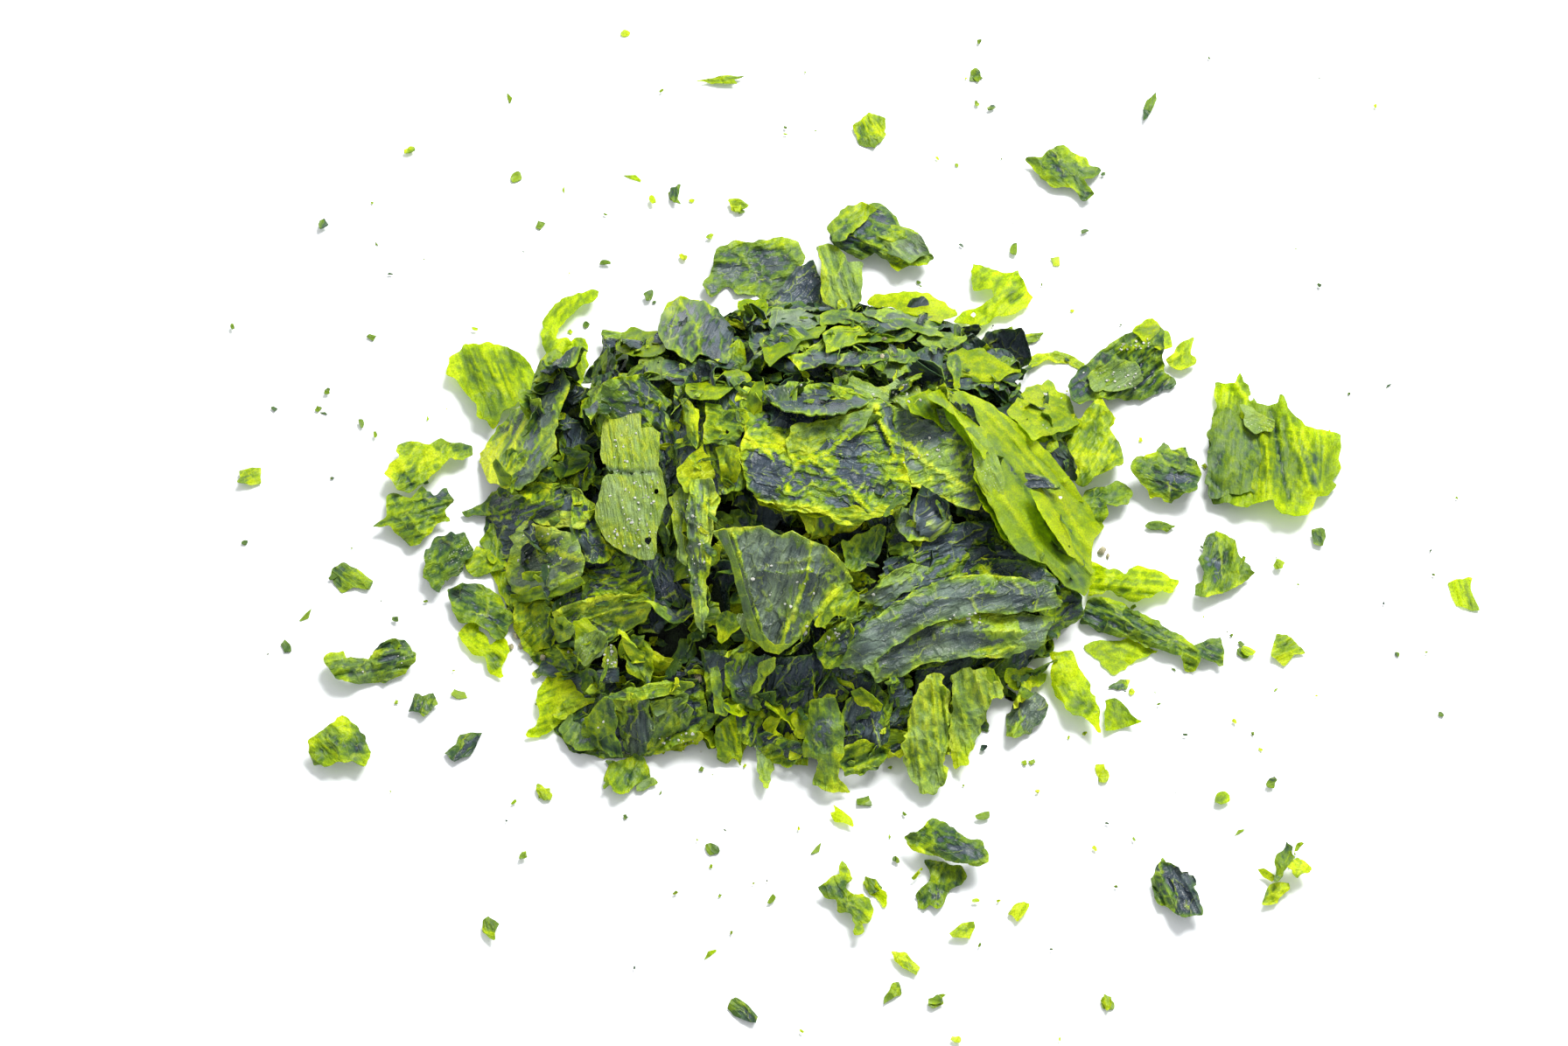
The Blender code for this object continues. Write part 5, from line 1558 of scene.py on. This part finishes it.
def to_spot(places):
    """Where points in metres show in the picture."""
    away = np.asarray(places) - EYE
    depth = away @ AHEAD
    return np.column_stack([PICTURE[0] / 2 + away @ RIGHT / depth * FOCAL,
                            PICTURE[1] / 2 - away @ UP / depth * FOCAL])


def folded_over(flat, rise, turn, start, bend, round_it):
    """Points of a leaf, in mm, bent over a line that lies start from the middle."""
    way = np.array([math.cos(turn), math.sin(turn)])
    beyond = np.maximum(flat @ way - start, 0)
    angle = np.minimum(beyond / round_it, bend)
    past = np.maximum(beyond - round_it * bend, 0)
    run = round_it * np.sin(angle) + past * math.cos(bend) - rise * np.sin(angle)
    up = round_it * (1 - np.cos(angle)) + past * math.sin(bend) + rise * np.cos(angle)
    return np.column_stack([flat + (run - beyond)[:, None] * way, up])


def model_flake(name, finish, long, wide, bow, crease, cell, seed, fold=None, **choices):
    """A small flake lying flat at the origin, its grain along x. fold is turn, start and bend."""
    dice = np.random.default_rng(seed)
    how = {**USUAL, "bow": bow, "crease": crease, "pleat_wave": 3.0, "tone": 0.0, "glow": 0.35,
           "crease_wave": 0.8, "crinkle": 0.18, "curl": 1.5, "tear": 0.5, "cell": cell, **choices}
    piece, flat, edge = cut_leaf(name, wild_outline(dice, long, wide), cell, how["tear"], (), seed)
    a, b = flat.T
    rise = crumpled(a, b, edge, seed, how)
    places = np.column_stack([a, b, rise])
    if fold:
        turn, start, bend = fold
        places = folded_over(flat, rise, turn, start * min(long, wide), bend, 0.9)
    piece.data.vertices.foreach_set("co", (places * MM).ravel())
    dress(piece, a, b, edge, seed, how, rise)
    thicken(piece, how["wall"])
    piece.data.materials.append(FINISH[finish])
    return piece


def lay_copy(model, spot, normal, turn, tone, dice, ground=0.5 * MM, size=1.0):
    """A copy of a flake, laid at a place in metres, facing along normal."""
    mesh = model.data.copy()
    copy = bpy.data.objects.new(model.name, mesh)
    bpy.context.scene.collection.objects.link(copy)
    normal = np.asarray(normal) / np.linalg.norm(normal)
    start = np.cross(normal, (0.31, 0.95, 0.11))
    start /= np.linalg.norm(start)
    side = np.cross(normal, start)
    along = start * math.cos(turn) + side * math.sin(turn)
    across = np.cross(normal, along)
    places = points_of(mesh) * size @ np.array([along, across, normal]) + spot
    low = places[:, 2] < ground
    places[low, 2] = ground + 0.04 * np.maximum(places[low, 2] - ground, -8 * MM)
    mesh.vertices.foreach_set("co", places.ravel())
    grain = mesh.uv_layers["grain"].data
    grain.foreach_set("uv", (read(grain, "uv", 2) + dice.random(2)).ravel())
    thickness_with_painted_light = mesh.attributes["thickness_with_painted_light"].data
    thickness_with_painted_light.foreach_set("value", read(thickness_with_painted_light, "value", kind=np.float32) + np.float32(tone))
    return copy


def sown_on_the_heap(gap, tries, dice):
    """Places and normals spread evenly over the heap's upper surface, in metres."""
    corners = np.array([[HEAP_POINTS[corner] for corner in face[:3]] for face in HEAP_FACES])
    normals = np.cross(corners[:, 1] - corners[:, 0], corners[:, 2] - corners[:, 0])
    areas = np.linalg.norm(normals, axis=1) / 2
    normals /= np.maximum(2 * areas, 1e-12)[:, None]
    areas[normals[:, 2] < -0.3] = 0
    areas[corners[:, :, 2].max(1) < 0.5 * MM] = 0
    chosen = dice.choice(len(areas), tries, p=areas / areas.sum())
    share = dice.random((tries, 2))
    folded = share.sum(1) > 1
    share[folded] = 1 - share[folded]
    spots = (corners[chosen, 0] + share[:, :1] * (corners[chosen, 1] - corners[chosen, 0])
             + share[:, 1:] * (corners[chosen, 2] - corners[chosen, 0]))
    kept = []
    for number in range(tries):
        near = np.linalg.norm(spots[kept] - spots[number], axis=1) if kept else np.array([1.0])
        if near.min() > gap * MM:
            kept.append(number)
    return spots[kept], normals[chosen][kept]


def finish_copies(name, laid, models):
    """Joins the copies laid in each region to one piece and clears the models away."""
    for where, copies in sorted(laid.items()):
        whole = join_as(f"{name}_{where}", copies)
        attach(whole, "root")
    for model in models:
        bpy.data.objects.remove(model)


BED_GAP = 5.5           # how far apart the bed's flakes lie, in mm
DEEP_GAP = 8.0          # the same for the layer under them
LOW_DOWN = 9 * MM       # the heap's foot is lower than this, and its leaf is thin and pale
BACK = 38 * MM          # behind this the heap lies in shade
FRONT = -15 * MM        # and before this it is lit
BED_PIECES = 8


def lay_bed():
    """Crumpled flakes all over the core, back and sides too, in eight pieces."""
    dice = np.random.default_rng(11)
    models = [model_flake(f"bed_flake_{number}", *kind[:5], 0.9, 300 + number, fold=kind[5])
              for number, kind in enumerate(BED_KINDS)]
    thin_kinds = [number for number, kind in enumerate(BED_KINDS) if kind[0] in ("thin", "leaf")]
    spots, normals = sown_on_the_heap(BED_GAP, 2600, dice)
    deep_spots, deep_normals = sown_on_the_heap(DEEP_GAP, 1500, dice)
    first_deep = len(spots)
    spots = np.vstack([spots, deep_spots])
    normals = np.vstack([normals, deep_normals])
    shows = to_spot(spots)
    in_cave = inside_any(shows, CAVES)
    covered = inside_any(shows, KEPT_CLEAR)
    clouds = ripple(spots[:, 0] / 0.03, spots[:, 1] / 0.03, 9)
    laid = {}
    for number, (spot, normal) in enumerate(zip(spots, normals)):
        low_down = spot[2] < LOW_DOWN
        kind = int(dice.integers(len(models)))
        if low_down and dice.random() < 0.5:
            kind = int(dice.choice(thin_kinds))
        tilt = dice.normal(0, 0.44, 3) * (0.3 if covered[number] else 1.0)
        turn = dice.uniform(0, 2 * math.pi)
        sunk = dice.uniform(0.8, 3.6) + (2.2 if covered[number] else 0.0)
        tone = 0.75 + 0.16 * clouds[number]
        tone += dice.normal(0, 0.17) - (0.12 if low_down else 0.0)
        # painted shade at the back of the heap, painted light at its front
        if spot[1] > BACK:
            tone += 0.3
        elif spot[1] < FRONT:
            tone -= 0.07
        size = dice.uniform(0.85, 1.3)
        # painted shade: the lower layer and the flakes in the hollows are made darker as well as laid
        # deeper
        if number >= first_deep:
            sunk = 4.0 + 0.6 * sunk
            tone += 0.2
        elif in_cave[number]:
            sunk += 3.6
            tone += 0.4
        share = (math.atan2(spot[1], spot[0]) + math.pi) / (2 * math.pi)
        copy = lay_copy(models[kind], spot - normal * sunk * MM, normal + tilt, turn, tone, dice,
                        size=size)
        laid.setdefault(int(share * BED_PIECES) % BED_PIECES, []).append(copy)
    finish_copies("bed_of_flakes", laid, models)


# ---------------------------------------------------------------- shreds, salt and crumbs
CRUMBS = (
    # x and y in the picture, half length and half width in mm, tone
    (620, 906, 2.0, 1.4, 0.4), (770, 226, 2.6, 1.2, 0.4), (843, 239, 2.6, 1.0, 0.1),
    (1070, 1146, 2.4, 1.3, 0.6), (1422, 748, 2.0, 1.2, 0.5), (1264, 1146, 2.2, 1.2, 0.3),
    (1179, 388, 2.0, 1.2, 0.3), (1259, 883, 2.3, 1.0, 0.25), (369, 260, 2.2, 1.5, 0.6),
    (589, 204, 2.2, 1.3, 0.5), (746, 231, 2.2, 1.0, 0.15), (350, 703, 2.2, 1.2, 0.5),
    (1123, 934, 2.1, 1.1, 0.5), (723, 202, 2.6, 0.9, 0.25), (934, 970, 2.0, 0.9, 0.5),
    (1452, 896, 2.2, 0.7, 0.5), (413, 485, 1.5, 1.2, 0.5), (1159, 287, 2.2, 0.8, 0.5),
    (525, 794, 2.0, 1.0, 0.4), (989, 917, 2.3, 1.3, 0.7), (1115, 89, 1.8, 1.4, 0.6),
    (781, 296, 1.8, 0.9, 0.2), (1024, 984, 1.4, 1.0, 0.4), (812, 970, 2.2, 0.8, 0.6),
    (618, 257, 1.6, 1.2, 0.6), (425, 386, 1.4, 1.1, 0.5), (469, 174, 2.2, 0.8, 0.3),
    (742, 340, 2.2, 0.8, 0.3), (598, 981, 1.6, 0.8, 0.4), (1133, 125, 1.7, 1.2, 0.6),
    (811, 1091, 1.9, 0.8, 0.3), (1207, 298, 1.8, 0.9, 0.2), (1416, 951, 1.4, 0.9, 0.4),
    (582, 111, 1.9, 0.9, 0.4), (382, 660, 1.6, 0.8, 0.6), (882, 1029, 1.5, 0.9, 0.3),
    (374, 449, 1.5, 0.8, 0.5), (811, 272, 1.4, 0.9, 0.5), (266, 375, 1.4, 0.9, 0.4),
    (1093, 1190, 1.7, 0.9, 0.4), (542, 377, 1.2, 0.9, 0.3), (716, 38, 1.6, 0.8, 0.2),
    (1116, 1031, 1.3, 0.8, 0.4), (453, 710, 1.3, 0.8, 0.4), (692, 302, 1.7, 0.8, 0.5),
    (670, 372, 1.3, 0.9, 0.4), (429, 499, 1.3, 1.1, 0.5), (327, 739, 1.9, 0.7, 0.6),
)
ALL_CRUMBS = 230            # the specks beyond those above are sown at random
CRUMB_SPREAD = (330, 255)   # how far they fly, across and down the picture
BARE = (330, 215)           # half the width and height of the heap, where none are sown
SOWN_FROM = (262, 32)       # the part of the picture that they lie in
SOWN_TO = (1690, 1190)


def everything_laid():
    """All that lies on the table so far, for dropping small things on."""
    points, faces = [], []
    for thing in bpy.context.scene.objects:
        if thing.type != "MESH" or thing.name == "table" or thing.name in frame["nodes"]:
            continue
        mesh = thing.data
        start = len(points)
        points.extend(vertex.co.copy() for vertex in mesh.vertices)
        faces.extend(tuple(start + corner for corner in face.vertices) for face in mesh.polygons)
    return BVHTree.FromPolygons(points, faces)


def drop(tree, spot):
    """Where something dropped at a point of the picture comes to rest, and what it leans on."""
    way = Vector(sight([spot])[0])
    place, normal, _, _ = tree.ray_cast(Vector(EYE), way)
    if place is None:
        return table_point(spot, 0.3 * MM), np.array([0.0, 0.0, 1.0])
    normal = np.array(normal)
    if normal @ np.array(way) > 0:
        normal = -normal
    return np.array(place), normal


def quarter(place):
    """Which quarter of the table a place is in, from 0 to 3."""
    return int(place[0] > 0) + 2 * int(place[1] > 0)


def scatter_shreds():
    """Small torn shreds on top of the heap."""
    dice = np.random.default_rng(23)
    tree = everything_laid()
    shapes = [("leaf", 3.2, 1.6), ("slab", 2.4, 1.8), ("thin", 2.8, 1.2), ("slate", 2.6, 1.7),
              ("leaf", 4.2, 1.1), ("slab", 1.8, 1.3), ("leaf", 2.2, 1.7), ("slate", 3.4, 1.3)]
    models = [model_flake(f"shred_{number}", finish, long, wide, 0.5, 0.5, 0.75, 700 + number,
                          curl=0.7, tear=0.3) for number, (finish, long, wide) in enumerate(shapes)]
    laid = {}
    spots, _ = sown_on_the_heap(3.0, 900, dice)
    shows = to_spot(spots)
    for spot, show, clear in zip(spots, shows, inside_any(shows, KEPT_CLEAR)):
        kind = int(dice.integers(len(models)))
        tilt = dice.normal(0, 0.35, 3)
        turn = dice.uniform(0, 2 * math.pi)
        tone = dice.normal(0.68, 0.2)
        size = dice.uniform(0.5, 1.1)
        if dice.random() > (0.05 if clear else 0.75):
            continue
        place, normal = drop(tree, show)
        if np.linalg.norm(place - spot) > 12 * MM:
            continue
        copy = lay_copy(models[kind], place + normal * 0.35 * MM, normal + tilt, turn, tone, dice,
                        size=size)
        laid.setdefault(quarter(spot), []).append(copy)
    finish_copies("shreds_on_the_heap", laid, models)


def scatter_crumbs():
    """Crumbs and specks of leaf strewn over the table."""
    dice = np.random.default_rng(31)
    kinds = [("leaf", 1.0, 0.6), ("thin", 1.0, 0.45), ("leaf", 1.0, 0.8), ("slab", 1.0, 0.7)]
    models = []
    for number, (finish, long, wide) in enumerate(kinds * 2):
        models.append(model_flake(f"crumb_{number}", finish, long, wide, 0.25, 0.15, 0.4,
                                  800 + number, curl=0.3, tear=0.12, glow=0.15, pleat=0.1,
                                  pleat_wave=1.2, crinkle=0.05))
    rows = list(CRUMBS)
    middle = to_spot([(0.0, 0.0, 0.0)])[0] + (40, 20)
    while len(rows) < ALL_CRUMBS:
        away = dice.normal(0, 1, 2) * CRUMB_SPREAD
        spot = middle + away
        sown = (spot > SOWN_FROM).all() and (spot < SOWN_TO).all()
        long = min(abs(dice.normal(0.45, 0.3)) + 0.22, 1.3)
        tone = dice.choice([0.12, 0.3, 0.45, 0.6, 0.75])
        if sown and np.hypot(*(away / BARE)) > 0.9:
            rows.append((*spot, long, long * dice.uniform(0.4, 0.9), tone))
    laid = {}
    for x, y, long, wide, tone in rows:
        kind = int(dice.integers(len(models)))
        turn = dice.uniform(0, 2 * math.pi)
        tilt = dice.normal(0, 0.08, 3)
        model = models[kind]
        place = table_point((x, y), 0.5 * MM)
        copy = lay_copy(model, place, tilt + (0, 0, 1), turn, tone, dice, ground=0.22 * MM,
                        size=long)
        laid.setdefault(quarter(place), []).append(copy)
    finish_copies("table_crumbs", laid, models)


SALTED_PLACES = (
    # left, top, right and bottom in the picture, and how many grains
    (692, 545, 752, 628, 52), (695, 450, 735, 530, 18), (690, 735, 706, 767, 12),
    (995, 435, 1056, 461, 20), (742, 838, 802, 861, 16), (870, 640, 930, 700, 10),
    (1080, 700, 1120, 712, 8), (590, 600, 660, 660, 14), (940, 718, 960, 745, 8),
    (785, 570, 812, 660, 18), (1276, 388, 1314, 402, 22), (1238, 424, 1300, 446, 16),
    (375, 745, 470, 780, 8), (1032, 500, 1080, 530, 10), (1160, 450, 1220, 490, 8),
)
SALT_SPOTS = (
    # x and y in the picture, and the grain's size in mm
    (919, 724, 0.9), (860, 662, 0.5), (922, 716, 0.4), (715, 560, 0.4), (722, 598, 0.5),
    (706, 612, 0.4), (730, 575, 0.35), (700, 745, 0.5), (703, 758, 0.4), (699, 738, 0.35),
    (998, 679, 0.5), (1106, 707, 0.5), (948, 730, 0.5), (955, 724, 0.4), (792, 590, 0.4),
    (800, 622, 0.4), (690, 825, 0.4), (684, 832, 0.35), (760, 850, 0.45), (775, 846, 0.4),
    (1020, 448, 0.4), (1036, 452, 0.45), (915, 440, 0.4), (1110, 520, 0.35), (650, 746, 0.5),
    (606, 757, 0.6), (1120, 708, 0.35), (880, 680, 0.3), (640, 690, 0.35), (1060, 520, 0.3),
)
SHELL_SPOTS = (
    (590, 728, 1.3), (596, 738, 1.1), (584, 740, 0.9), (621, 751, 1.1), (797, 776, 1.2),
    (1008, 408, 0.8), (1010, 389, 0.9), (1259, 631, 1.4), (1266, 636, 0.9),
)


def lay_grains(name, finish, spots, tree, dice):
    """Small hard grains dropped at points of the picture, joined to one piece."""
    grains = []
    for x, y, size in spots:
        nothing_selected()
        bpy.ops.mesh.primitive_ico_sphere_add(subdivisions=1, radius=1.0)
        grain = bpy.context.object
        place, normal = drop(tree, (x, y))
        points = points_of(grain.data) * dice.uniform(0.6, 1.3, (len(grain.data.vertices), 1))
        points = points * dice.uniform(0.6, 1.2, 3) * size * MM + place + normal * 0.3 * size * MM
        points[:, 2] = np.maximum(points[:, 2], 0.05 * MM)
        grain.data.vertices.foreach_set("co", points.ravel())
        grains.append(grain)
    whole = join_as(name, grains)
    whole.data.materials.clear()
    whole.data.materials.append(finish)
    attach(whole, "root")


def scatter_salt():
    """Grains of sea salt and crumbs of shell caught in the heap."""
    dice = np.random.default_rng(41)
    tree = everything_laid()
    grains = list(SALT_SPOTS)
    for left, top, right, bottom, count in SALTED_PLACES:
        for _ in range(count):
            x = dice.uniform(left, right)
            y = dice.uniform(top, bottom)
            grains.append((x, y, dice.uniform(0.15, 0.42)))
    lay_grains("salt_grains", SALT_FINISH, grains, tree, dice)
    lay_grains("shell_crumbs", SHELL_FINISH, SHELL_SPOTS, tree, dice)


# ---------------------------------------------------------------- all of it
add_camera()
add_lights()
add_table()
add_core()
lay_big_leaves()
lay_rim_flakes()
lay_loose_flakes()
lay_bed()
scatter_shreds()
scatter_salt()
scatter_crumbs()
